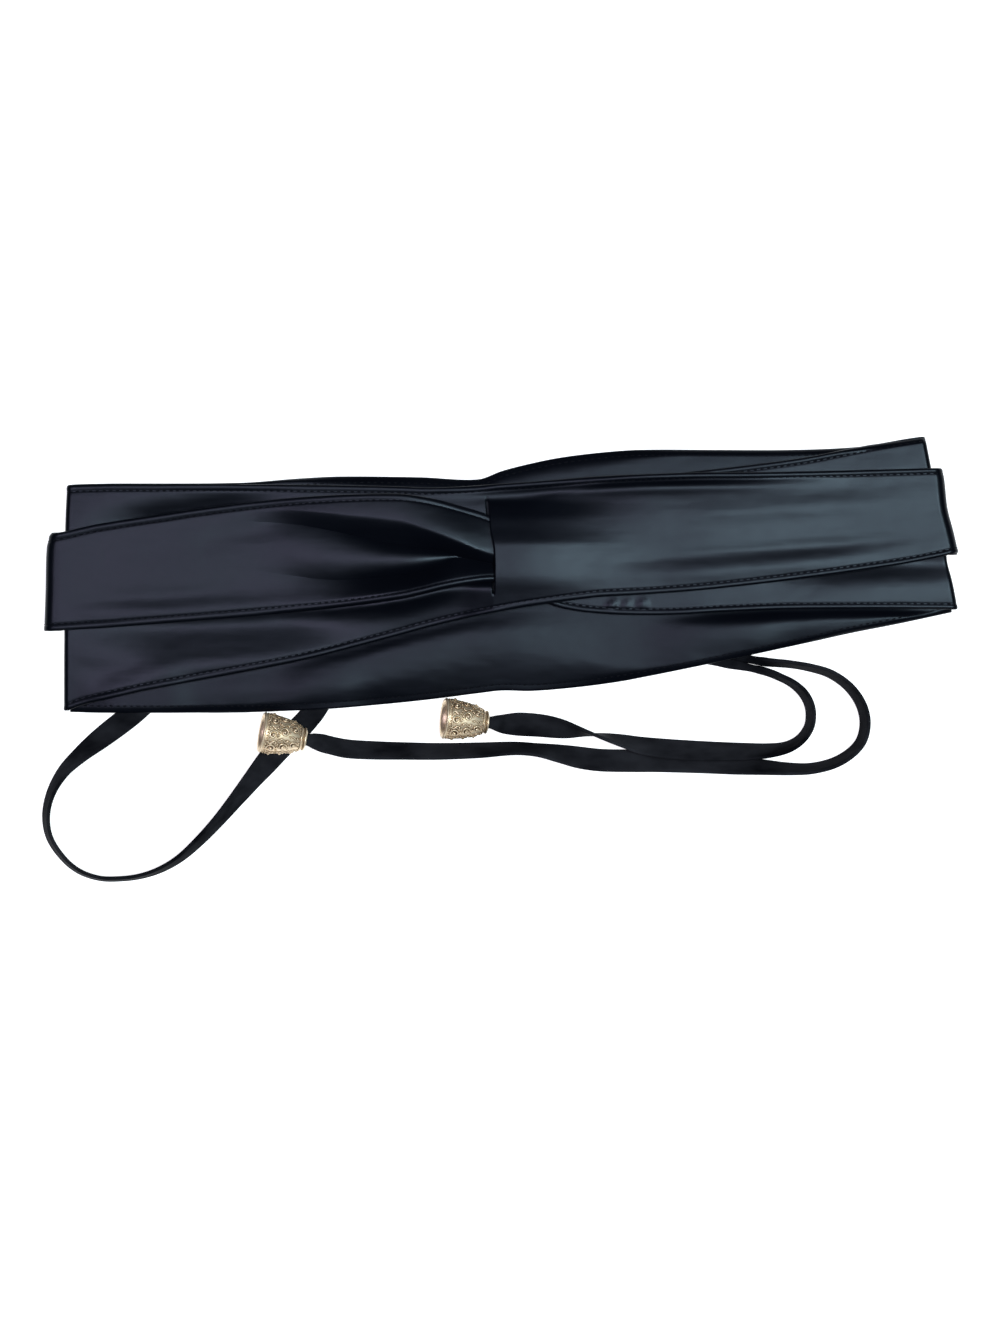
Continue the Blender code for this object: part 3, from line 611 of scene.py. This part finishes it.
def rows_across(count, extra=(), insets=HEM_ROWS):
    """Rows from the top edge to the bottom one: parts of the width, and insets from there.

    The extra parts take the places of the even ones that they come close to.
    """
    inner = insets[-1] * MM
    even = [k / count for k in range(1, count)
            if all(abs(k / count - part) > ROW_CLEAR / count for part in extra)]
    return np.array([(0, -inset * MM) for inset in insets]
                    + [(part, inner * (2 * part - 1)) for part in sorted([*even, *extra])]
                    + [(1, inset * MM) for inset in reversed(insets)])


def meeting(outline, line, rows):
    """Where each row of the outline meets a line across it."""
    x = np.full(len(rows), line(np.array(0.0)))
    for _ in range(MEETING_STEPS):
        x = line(outline.row(x, *rows.T))
    return x


def turn_line(line, side, upper, lower):
    """Where a fold's half turn starts: its radius and half a wall in from its outer line."""
    def start(y):
        x = line(y) - side * FOLD_PROBE
        return line(y) - side * ((upper(x, y) - lower(x, y)) / 2 + WALL / 2)
    return start


def shifted(line, distance):
    return lambda y: line(y) + distance


left_turn = turn_line(left_fold, -1, panel_height, back_height)
strap_turn = turn_line(strap_fold, -1, strip_height, floor_height)
back_turn = turn_line(back_fold, 1, strip_height, back_height)
panel_turn = turn_line(panel_fold, 1, panel_height, floor_height)


def flat_columns(outline, start, end, shares, rows, height):
    """Columns of points from one line across the cloth to another."""
    first, last = meeting(outline, start, rows), meeting(outline, end, rows)
    x = blend(first, last, np.asarray(shares)[:, None])
    y = outline.row(x, *rows.T[:, None])
    return np.stack([x, y, height(x, y)], axis=-1)


def half_turn(outline, start, side, rows, upper, lower):
    """Columns round a fold, from the upper wall down to the lower one."""
    x = meeting(outline, start, rows)
    y = outline.row(x, *rows.T)
    high, low = upper(x, y), lower(x, y)
    radius = (high - low) / 2
    turns = (math.pi * step / FOLD_STEPS for step in range(1, FOLD_STEPS + 1))
    return np.array([np.stack([x + side * radius * math.sin(turn), y,
                               low + radius * (1 + math.cos(turn))], axis=-1) for turn in turns])


def shares(count, crowding=0.6):
    """Shares from 0 to 1 that crowd towards both ends."""
    k = np.arange(count + 1) / count
    return blend(k, (1 - np.cos(math.pi * k)) / 2, crowding)


def edge_insets(points, outline):
    """Each point's distance to the nearer long edge."""
    return np.maximum(outline.inside(points[..., 0], points[..., 1]), 0)


def unit(vectors):
    return vectors / np.maximum(np.linalg.norm(vectors, axis=-1, keepdims=True), TINY)


def stitch_inset(x):
    return blend(*STITCH_INSET, np.clip((x + HALF_SASH) / (2 * HALF_SASH), 0, 1)) * MM


def hem_relief(x, inset):
    """The stitched hem: a soft ridge along the edge and a groove at the stitch line."""
    line = stitch_inset(x)
    puff = HEM_PUFF * np.exp(-((inset - line * HEM_PUFF_PLACE) / HEM_PUFF_HALF) ** 2)
    groove = GROOVE * np.exp(-((inset - line) / GROOVE_HALF) ** 2)
    return (puff - groove) * np.clip(inset / HEM_START, 0, 1)


def half_wall(inset, wall):
    """Half the wall, rounded off at the rim."""
    share = np.clip(inset / (wall / 2), 0, 1)
    return wall / 2 * np.sqrt(np.maximum(1 - (1 - share) ** 2, 0))[..., None]


# ---- meshes

def new_object(name, data, place):
    made = bpy.data.objects.new(name, data)
    made.location = place
    bpy.context.scene.collection.objects.link(made)
    return made


def mesh_object(name, points, faces, material):
    mesh = bpy.data.meshes.new(name)
    mesh.from_pydata([tuple(point) for point in points], [], [tuple(face) for face in faces])
    mesh.update()
    mesh.shade_smooth()
    mesh.materials.append(material)
    return new_object(name, mesh, -CENTRE)


def clean(made, weld):
    """Joins the points that lie in one place, or else turns every face outwards."""
    bm = bmesh.new()
    bm.from_mesh(made.data)
    if weld:
        bmesh.ops.remove_doubles(bm, verts=bm.verts, dist=WELD)
        bmesh.ops.dissolve_degenerate(bm, edges=bm.edges, dist=WELD)
    else:
        bmesh.ops.recalc_face_normals(bm, faces=bm.faces)
    bm.to_mesh(made.data)
    bm.free()
    made.data.shade_smooth()
    return made


def stand_for(made, node):
    """The piece rides on the part's one body, in the place of a CAD node."""
    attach(made, "root")
    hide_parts(node)
    return made


def add_shell(name, upper, lower, material, open_cells=None):
    """A closed shell between two grids of points that meet along their long edges."""
    columns, rows, _ = upper.shape
    count = columns * rows
    index = np.arange(count).reshape(columns, rows)
    quads = np.stack([index[:-1, :-1], index[:-1, 1:], index[1:, 1:], index[1:, :-1]], axis=-1)
    kept = quads[~open_cells] if open_cells is not None else quads.reshape(-1, 4)
    faces = [kept, kept[:, ::-1] + count]
    for edge, step in ((index[0], 1), (index[-1], -1)):
        wall = np.stack([edge[1:], edge[:-1], edge[:-1] + count, edge[1:] + count], axis=-1)
        faces.append(wall[:, ::step])
    points = np.concatenate([upper.reshape(-1, 3), lower.reshape(-1, 3)])
    return clean(mesh_object(name, points, np.concatenate(faces), material), weld=True)


def angles(count, shift=0):
    return [2 * math.pi * (k + shift) / count for k in range(count)]


def ahead_at(path, n, closed=False):
    """The direction of a path at its point n."""
    if closed:
        return (path[(n + 1) % len(path)] - path[n - 1]).normalized()
    return (path[min(n + 1, len(path) - 1)] - path[max(n - 1, 0)]).normalized()


class Lofts:
    """Lofted forms, gathered as the points and faces of one mesh."""

    def __init__(self):
        self.points, self.faces = [], []

    def add(self, rings, closed=False):
        """Faces between rings of points that have the same count, with caps if not closed."""
        sides, first = len(rings[0]), len(self.points)
        self.points += [point for ring in rings for point in ring]
        for n in range(len(rings) if closed else len(rings) - 1):
            near, far = (first + ring * sides for ring in (n, (n + 1) % len(rings)))
            for k in range(sides):
                after = (k + 1) % sides
                self.faces.append((near + k, far + k, far + after, near + after))
        if not closed:
            last = len(self.points) - sides
            self.faces.append(tuple(range(first, first + sides)))
            self.faces.append(tuple(range(last, last + sides))[::-1])


def add_stitches(name, lines, material):
    """Topstitching: a small rounded capsule for each stitch, all in one piece."""
    stitches = Lofts()
    for line, normals in lines:
        distance = running(np.linalg.norm(np.diff(line, axis=0), axis=1))
        starts = np.arange(STITCH_PITCH, distance[-1] - STITCH_PITCH, STITCH_PITCH)
        for start, end, up in zip(points_at(starts, distance, line),
                                  points_at(starts + STITCH_LENGTH, distance, line),
                                  unit(points_at(starts, distance, normals))):
            side = unit(np.cross(end - start, up))
            rings = []
            for share, size in STITCH_RINGS:
                sink = (2 * share - 1) ** 4 * STITCH_RADIUS * STITCH_DIP
                middle = start + (end - start) * share - up * sink
                rings.append([middle + (side * math.cos(a) * STITCH_BREADTH + up * math.sin(a))
                              * STITCH_RADIUS * size for a in angles(STITCH_SIDES)])
            stitches.add(rings)
    return mesh_object(name, stitches.points, stitches.faces, material)


def hem_lines(upper, normals, outline, rows):
    """The stitch line along each long edge on the upper face, with its normals."""
    lines = []
    half = len(rows) // 2
    for part in (slice(0, half), slice(len(rows) - 1, half, -1)):
        points, ups = [], []
        for column, up in zip(upper, normals):
            keys = edge_insets(column[part], outline)
            inset = stitch_inset(column[half, 0])
            points.append(points_at(inset, keys, column[part]))
            ups.append(points_at(inset, keys, up[part]))
        ups = unit(np.array(ups))
        lines.append((np.array(points) + ups * STITCH_RADIUS * STITCH_RISE, ups))
    return lines


def add_cloth(node, middle, outline, rows, material, thread, lips=np.inf, open_cells=None,
              hem=1.0, upright=None):
    """One stretch of cloth with its hems and stitches.

    Its rim is rounded along its edges and its lips, and where upright is 1 its wall is laid
    straight up and down instead of square to the cloth.
    """
    inset = edge_insets(middle, outline)
    normals = unit(np.cross(np.gradient(middle, axis=1), np.gradient(middle, axis=0)))
    if upright is not None:
        normals = unit(blend(normals, np.array((0, 0, 1)), upright[..., None]))
    half = half_wall(np.minimum(inset, lips), WALL)
    relief = hem_relief(middle[..., 0], inset)[..., None] * hem
    upper = middle + normals * (half + relief)
    name = f"{node}_cloth"
    cloth = add_shell(name, upper, middle - normals * half, material, open_cells)
    if upright is not None:
        cloth.data.set_sharp_from_angle(angle=CREASED)
    stand_for(cloth, node)
    stitches = add_stitches(f"{name}_stitches", hem_lines(upper, normals, outline, rows), thread)
    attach(stitches, "root")
    return cloth, stitches


# ---- the stretches

def panel_cloth(material, thread):
    top, bottom = panel.edges(slit(np.array(0.0)))
    width, inner = top - bottom, HEM_ROWS[-1] * MM
    slit_parts = [(part * width - inner) / (width - 2 * inner) for part in SLIT_PARTS]
    rows = rows_across(44, slit_parts)
    close = 1 - np.array(LIP_COLUMNS) * MM / HALF_PANEL
    to_slit = np.unique([*shares(120)[:-1], *close])
    from_slit = np.unique([*(1 - close), *shares(124)[1:]])
    round_left = half_turn(panel, left_turn, -1, rows, panel_surface, back_surface)
    left = flat_columns(panel, left_turn, shifted(slit, -SLIT_WIDTH / 2), to_slit, rows,
                        panel_surface)
    right = flat_columns(panel, shifted(slit, SLIT_WIDTH / 2), panel_turn, from_slit, rows,
                         panel_surface)
    round_right = half_turn(panel, panel_turn, 1, rows, panel_surface, floor_height)
    middle = np.concatenate([round_left[::-1], left, right, round_right])

    gap_column = len(round_left) + len(left) - 1
    parts = rows[:, 0]
    in_slit = (parts >= slit_parts[0] - TINY) & (parts <= slit_parts[1] + TINY)
    open_cells = np.zeros((len(middle) - 1, len(rows) - 1), bool)
    open_cells[gap_column] = in_slit[:-1] & in_slit[1:]
    x, y = middle[..., 0], middle[..., 1]
    cut = y[gap_column][in_slit]
    past_ends = np.maximum(np.maximum(y - cut.max(), cut.min() - y), 0)
    lips = np.hypot(np.maximum(np.abs(x - slit(y)) - SLIT_WIDTH / 2, 0), past_ends)
    return add_cloth("front_panel", middle, panel, rows, material, thread, lips, open_cells)


def strap_cloth(material, thread):
    rows = rows_across(60, [part + step for part in TROUGH_PARTS for step in CLOSE_ROWS])
    around = half_turn(gathered, strap_turn, -1, rows, strap_surface, floor_height)
    flat = flat_columns(gathered, strap_turn, shifted(slit, STRAP_END), shares(170, 0.3), rows,
                        strap_surface)
    middle = np.concatenate([around[::-1], flat])
    upright = (smooth(*UPRIGHT_INSETS, edge_insets(middle, strip))
               * smooth(*GATHERED[:2], middle[..., 0]))
    return add_cloth("wrap_strap", middle, strip, rows, material, thread, upright=upright)


def under_cloth(material, thread):
    rows = rows_across(44)
    flat = flat_columns(strip, shifted(slit, STRAP_END + SEAM), back_turn, shares(130, 0.3), rows,
                        under_surface)
    around = half_turn(strip, back_turn, 1, rows, under_surface, back_surface)
    return add_cloth("under_wrap", np.concatenate([flat, around]), strip, rows, material, thread)


def back_cloth(material, thread):
    rows = rows_across(52)
    middle = flat_columns(back, shifted(left_turn, SEAM), shifted(back_turn, -SEAM),
                          shares(240, 0.2), rows, back_surface)
    return add_cloth("back_wrap", middle, back, rows, material, thread, hem=BACK_HEM)


def tails_cloth(material):
    """The two ends of the cloth, folded away as two thin layers with round edges."""
    bpy.ops.object.select_all(action="DESELECT")
    shells = []
    rows = rows_across(12, insets=TAIL_ROWS)
    for low, high in TAIL_LAYERS:
        middle = flat_columns(hidden, shifted(strap_turn, TAILS_SEAM),
                              shifted(panel_turn, -TAILS_SEAM), shares(90), rows,
                              lambda x, y: np.full(x.shape, (low + high) / 2 * MM))
        half = half_wall(edge_insets(middle, hidden), (high - low) * MM) * (0, 0, 1)
        shells.append(add_shell("hidden_tails_cloth", middle + half, middle - half, material))
        shells[-1].select_set(True)
    bpy.context.view_layer.objects.active = shells[0]
    bpy.ops.object.join()
    return shells[0]


# ---- ties

def lean_height(width, wall, lean):
    """How high a ribbon's middle is when its low edge is on the surface."""
    return width / 2 * abs(math.sin(lean)) + wall / 2 * abs(math.cos(lean)) + FLOOR_GAP


def bell_axis(place):
    """A bell's mouth centre, and the direction from its mouth to its neck."""
    x, y, heading, lift = place
    turn = math.radians(heading)
    along = Vector((math.cos(turn) * math.cos(BELL_TILT), math.sin(turn) * math.cos(BELL_TILT),
                    -math.sin(BELL_TILT)))
    lowest = min(-h * math.sin(BELL_TILT) - r * math.cos(BELL_TILT) for h, r in BELL_OUTER)
    return Vector((x, y, lift - lowest)) * MM, along


def tie_stations(table, bell=None):
    """A tie's route as rows of x, y, width, wall, lean and lift, with its end in the bell."""
    stations = []
    for x, y, lean, *others in table:
        width, wall, lift = (*others, *PLAIN_RIBBON[len(others):])
        stations.append((x * MM, y * MM, width * MM, wall * MM, math.radians(lean), lift * MM))
    if bell:
        mouth, along = bell_axis(bell)
        lean = math.pi * round(stations[-1][4] / math.pi)
        for distance, width, wall in BELL_END:
            x, y, z = mouth + along * distance * MM
            lift = z - lean_height(width * MM, wall * MM, lean)
            stations.append((x, y, width * MM, wall * MM, lean, lift))
    return stations


def refined(stations):
    """The stations and the points between them on a smooth curve through all."""
    table = np.array(stations)
    keys = running(np.hypot(*np.diff(table[:, :2], axis=0).T))
    fine = np.concatenate([np.linspace(a, b, TIE_STEPS, endpoint=False)
                           for a, b in zip(keys, keys[1:])] + [keys[-1:]])
    return np.stack([curve_through(keys, column, fine) for column in table.T], axis=-1)


def add_tie(name, node, stations, material):
    """A ribbon as a loft of rounded oblongs along its route; returns it and its middle line."""
    route = refined(stations)
    places = [Vector((x, y, lean_height(width, wall, lean) + lift))
              for x, y, width, wall, lean, lift in route]
    quarter = list(TIE_SECTION)
    section = (quarter + [(-u, v) for u, v in reversed(quarter)]
               + [(-u, -v) for u, v in quarter[1:]] + [(u, -v) for u, v in reversed(quarter[1:])])
    ribbon, rings = Lofts(), []
    for n, (x, y, width, wall, lean, lift) in enumerate(route):
        ahead = ahead_at(places, n)
        side = Vector((0, 0, 1)).cross(ahead).normalized()
        up = ahead.cross(side)
        across = side * math.cos(lean) + up * math.sin(lean)
        through = up * math.cos(lean) - side * math.sin(lean)
        rings.append([places[n] + across * (u * width / 2) + through * (v * wall / 2)
                      for u, v in section])
    ribbon.add(rings)
    made = clean(mesh_object(name, ribbon.points, ribbon.faces, material), weld=False)
    return stand_for(made, node), [tuple(place - CENTRE) for place in places]


# ---- bell caps, in their own axes and in mm

class Relief(Lofts):
    """The forms raised on a bell cap."""

    def wire(self, path, radius, closed=False, sides=6):
        """A round wire along a path, thinner at its ends where it is open."""
        rings = []
        for n, place in enumerate(path):
            ahead = ahead_at(path, n, closed)
            side = ahead.cross(Vector((place.x, place.y, 0)).normalized()).normalized()
            out = side.cross(ahead)
            ends = 1 if closed else 0.45 + 0.55 * math.sin(math.pi * (n + 0.5) / len(path)) ** 0.5
            rings.append([place + (side * math.cos(a) + out * math.sin(a)) * radius * ends
                          for a in angles(sides)])
        self.add(rings, closed)

    def boss(self, place, radius, rise=1.0, sides=8):
        """A round granule on the wall."""
        out = Vector((place.x, place.y, 0)).normalized()
        side = Vector((0, 0, 1)).cross(out).normalized()
        up = out.cross(side)
        rings = []
        for turn in map(math.radians, (-70, -35, 0, 30, 60, 82)):
            wide, high = radius * math.cos(turn), radius * math.sin(turn) * rise
            rings.append([place + out * high + (side * math.cos(a) + up * math.sin(a)) * wide
                          for a in angles(sides)])
        self.add(rings)


def bell_wall(height):
    """The outer radius of the bell's cone at a height."""
    return float(np.interp(height, *np.array(BELL_OUTER[::-1]).T))


def on_wall(height, angle, rise=0.0):
    radius = bell_wall(height) + rise
    return Vector((radius * math.cos(angle), radius * math.sin(angle), height))


def scroll(height, angle, size, handed, count=22):
    """A spiral scroll on the wall, from its outer end in to its eye."""
    path = []
    for n in range(count):
        share = n / (count - 1)
        reach = size * (1 - SCROLL_WIND * share)
        around = math.radians(SCROLL_START * handed) + handed * share * SCROLL_TURNS * 2 * math.pi
        h = height + reach * math.sin(around)
        path.append(on_wall(h, angle + reach * math.cos(around) / bell_wall(h), rise=0.10))
    return path


def stem(height, angle, size, handed, count=12):
    """A bent stem beside a scroll, along the wall's slope."""
    bend = handed * STEM_BEND * size / bell_wall(height)
    return [on_wall(height + (s - 0.5) * size * STEM_LENGTH,
                    angle + bend * math.sin(2 * math.pi * s), rise=0.08)
            for s in (n / (count - 1) for n in range(count))]


def add_bell(name, node, place, material):
    """A cast bell cap: a turned wall with scrolls, granules and ring rims raised on it."""
    relief = Relief()
    relief.add([[Vector((r * math.cos(a), r * math.sin(a), h)) for a in angles(BELL_SIDES)]
                for h, r in smooth_profile(BELL_OUTER, 3) + smooth_profile(BELL_INNER, 2)],
               closed=True)
    for height, radius in RING_ROWS:
        relief.wire([on_wall(height, a, rise=0.05) for a in angles(56)], radius, closed=True)
    for height, count, radius in BEAD_ROWS:
        for angle in angles(count, 0.5):
            relief.boss(on_wall(height, angle), radius)
    for level, (height, count, size, radius, boss) in enumerate(SCROLL_ROWS):
        for k, angle in enumerate(angles(count, 0.5 * (level % 2))):
            beside = angle + STEM_PLACE * 2 * math.pi / count
            handed = 1 if k % 2 == 0 else -1
            relief.wire(scroll(height, angle, size, handed), radius)
            relief.boss(on_wall(height, angle, rise=0.12), boss, rise=1.1)
            for up, wide in STEM_BEADS:
                relief.boss(on_wall(height + size * up, beside), radius * wide)
            relief.wire(stem(height, beside, size, handed), radius * STEM_RADIUS)
    mouth, along = bell_axis(place)
    frame = along.to_track_quat("Z", "Y").to_matrix()
    points = [frame @ (point * MM) + mouth for point in relief.points]
    return stand_for(clean(mesh_object(name, points, relief.faces, material), weld=False), node)


def smooth_profile(profile, steps):
    """A profile with points between its own, still passing through them."""
    return [(blend(a[0], b[0], n / steps), blend(a[1], b[1], n / steps))
            for a, b in zip(profile, profile[1:]) for n in range(steps)] + [profile[-1]]


# ---- materials

class Surface:
    """A material in the making, with textures laid on the object's own coordinates."""

    def __init__(self, name):
        self.material = bpy.data.materials.new(name)
        self.material.use_nodes = True
        self.nodes = self.material.node_tree.nodes
        self.place = self.node("TexCoord").outputs["Object"]

    def fill(self, inputs, values):
        """Gives each input its value, or links it to the output of another node."""
        for key, value in values.items():
            if isinstance(value, bpy.types.NodeSocket):
                self.material.node_tree.links.new(value, inputs[key])
            else:
                inputs[key].default_value = value

    def node(self, kind, values=None, **settings):
        made = self.nodes.new(f"ShaderNode{kind}")
        for key, value in settings.items():
            setattr(made, key, value)
        self.fill(made.inputs, values or {})
        return made

    def noise(self, scale, detail=3, stretch=(1, 1, 1)):
        stretched = self.node("Mapping", {"Vector": self.place, "Scale": stretch})
        return self.node("TexNoise", {"Vector": stretched.outputs[0], "Scale": scale,
                                      "Detail": detail, "Roughness": 0.55}).outputs["Fac"]

    def ramp(self, source, *stops):
        made = self.node("ValToRGB", {"Fac": source})
        elements = made.color_ramp.elements
        while len(elements) < len(stops):
            elements.new(0.5)
        for element, (place, colour) in zip(elements, stops):
            element.position = place
            element.color = (*colour, 1)
        return made.outputs["Color"]

    def maths(self, operation, *values):
        return self.node("Math", dict(enumerate(values)), operation=operation).outputs[0]

    def bumps(self, *layers):
        """The normal of bumps laid one on another: the height, strength and distance of each."""
        values = {}
        for height, strength, distance in layers:
            values.update({"Height": height, "Strength": strength, "Distance": distance})
            values["Normal"] = self.node("Bump", values).outputs["Normal"]
        return values["Normal"]

    def finish(self, values):
        self.fill(self.nodes["Principled BSDF"].inputs, values)
        return self.material


def satin(name, dark, light, level=0.12, roughness=0.30, turn=0.0, patches=34, uneven=0.35):
    """Satin: a fine diagonal weave, slubs along the cloth, and soft pressed unevenness."""
    cloth = Surface(name)
    slubs = cloth.noise(260, 4, (0.10, 1, 1))
    soft = cloth.noise(patches, 3, (0.55, 1, 1))
    turned = cloth.node("Mapping", {"Vector": cloth.place,
                                    "Rotation": (0, 0, math.radians(32) + turn)})
    weave = cloth.node("TexWave", {"Vector": turned.outputs[0], "Scale": 520, "Distortion": 1.2,
                                   "Detail": 1}, bands_direction="Y")
    return cloth.finish({
        # The colour mottles between dark and light by the soft noise; on the ribbon the lighter
        # patches are painted sheen.
        "Base Color": cloth.ramp(soft, (0.30, dark), (0.72, light)),
        "Roughness": cloth.maths("MULTIPLY_ADD", soft, 0.10, roughness - 0.05),
        "Normal": cloth.bumps((soft, uneven, 0.0016), (slubs, 0.25, 0.00022),
                              (weave.outputs["Fac"], 0.10, 0.00008)),
        "Specular IOR Level": level,
        "Specular Tint": (0.72, 0.84, 1, 1),
    })


def thread_material(name, colour):
    """Sewing thread: twisted, with a soft gloss."""
    thread = Surface(name)
    fine = thread.noise(900, 2)
    return thread.finish({
        "Base Color": thread.ramp(fine, (0.3, [0.6 * c for c in colour]), (0.7, colour)),
        "Normal": thread.bumps((fine, 0.4, 0.00008)),
        "Roughness": 0.5,
        "Specular IOR Level": 0.03,
    })


def gilt(name):
    """Pale gold with painted shade: its colour is bright on the raised forms and darkened in the
    hollows by ambient occlusion, with a random stain tone.
    """
    gold = Surface(name)
    grain, stain = gold.noise(700, 4), gold.noise(160)
    # Painted shade: ambient occlusion darkens the gold's colour in the hollows of the relief, and
    # the stain noise adds random tone.
    painted_hollow_shade = gold.node("AmbientOcclusion", {"Distance": 0.0019}, samples=8).outputs["AO"]
    painted_shade_and_stain = gold.maths("ADD", painted_hollow_shade, gold.maths("MULTIPLY_ADD", stain, 0.30, -0.15))
    return gold.finish({
        "Base Color": gold.ramp(painted_shade_and_stain, (0.38, (0.040, 0.019, 0.008)), (0.62, (0.27, 0.155, 0.07)),
                                (0.84, (0.77, 0.56, 0.33)), (0.96, (0.92, 0.77, 0.56))),
        "Roughness": gold.maths("MULTIPLY_ADD", stain, 0.22, 0.36),
        "Normal": gold.bumps((grain, 0.35, 0.00012)),
        "Metallic": 0.80,
    })


# ---- the studio

def add_camera():
    data = bpy.data.cameras.new("camera")
    data.lens = LENS
    data.sensor_width = 36
    bpy.context.scene.camera = new_object("camera", data, CAMERA)


def add_sun(name, energy, colour, place, half):
    """A sun seen as a disc of this half angle in degrees, shining from its place to the origin."""
    data = bpy.data.lights.new(name, "SUN")
    data.energy = energy
    data.color = colour
    data.angle = math.radians(2 * half)
    light = new_object(name, data, place)
    light.rotation_euler = (-Vector(place)).to_track_quat("-Z", "Y").to_euler()


def add_studio():
    scene = bpy.context.scene
    scene.view_settings.view_transform = "Standard"
    scene.world = bpy.data.worlds.new("room")
    scene.world.use_nodes = True
    background = scene.world.node_tree.nodes["Background"]
    background.inputs["Color"].default_value = (0.80, 0.88, 1, 1)
    background.inputs["Strength"].default_value = 0.03
    for k, (half, radiance) in enumerate(((12, 2.0), (19, 2.4), (26, 0.4))):
        add_sun(f"soft_box_{k}", radiance * math.pi * math.sin(math.radians(half)) ** 2,
                (0.92, 0.88, 1), (0.09, 0, 2), half)
    add_sun("window", 1.65, (0.78, 1, 1), (0.50, 0.03, 2), 6)
    add_sun("far_window", 0.45, (0.93, 0.74, 1), (-0.44, 0.05, 2), 6)
    paint = Surface("white_floor")
    material = paint.finish({
        "Base Color": paint.ramp(paint.noise(2), (0.3, (0.84,) * 3), (0.7, (0.86,) * 3)),
        "Roughness": 0.9,
        "Emission Color": (1, 1, 1, 1),
        "Emission Strength": 0.75,
    })
    corners = [(x * FLOOR_HALF, y * FLOOR_HALF, 0)
               for x, y in ((-1, -1), (1, -1), (1, 1), (-1, 1))]
    floor = mesh_object("floor", corners, [(0, 1, 2, 3)], material)
    floor.location = (0, 0, -0.3 * MM)


# ---- the sash

def main():
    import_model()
    add_camera()

    navy, navy_light = (0.0010, 0.0014, 0.0028), (0.0020, 0.0026, 0.0046)
    # The ribbon's colour is mottled at random between black and a lighter black as painted sheen
    # in patches.
    black, black_painted_sheen = (0.0028, 0.0031, 0.0042), (0.023, 0.024, 0.028)
    ribbon = satin("ribbon_satin", black, black_painted_sheen, 0.0015, 0.40, 0.4, 70)
    gold = gilt("gilt_painted_hollow_shade")

    outer_bell = add_bell("outer_bell_cap", "bell_outer", BELL_OF_OUTER_TIE, gold)
    inner_bell = add_bell("inner_bell_cap", "bell_inner", BELL_OF_INNER_TIE, gold)
    for name, node, stations, slot, end, on_it in (
            ("left_loop_ribbon", "tie_left_loop", tie_stations(LEFT_LOOP), "ribbon_loop",
             "object", ()),
            ("outer_ribbon", "tie_outer", tie_stations(OUTER_TIE, BELL_OF_OUTER_TIE),
             "ribbon_outer", "fitting", (outer_bell,)),
            ("inner_ribbon", "tie_inner", tie_stations(INNER_TIE, BELL_OF_INNER_TIE),
             "ribbon_inner", "fitting", (inner_bell,))):
        piece, path = add_tie(name, node, stations, ribbon)

    cloth = satin("midnight_satin", navy, navy_light)
    thread = thread_material("navy_thread", (0.006, 0.007, 0.010))
    reverse = satin("midnight_satin_reverse", navy, navy_light, 0.10, 0.33, uneven=0.45)
    front, strap = panel_cloth(cloth, thread), strap_cloth(cloth, thread)
    under, rear = under_cloth(cloth, thread), back_cloth(reverse, thread)
    tails = stand_for(tails_cloth(reverse), "hidden_tails")

    add_studio()


main()
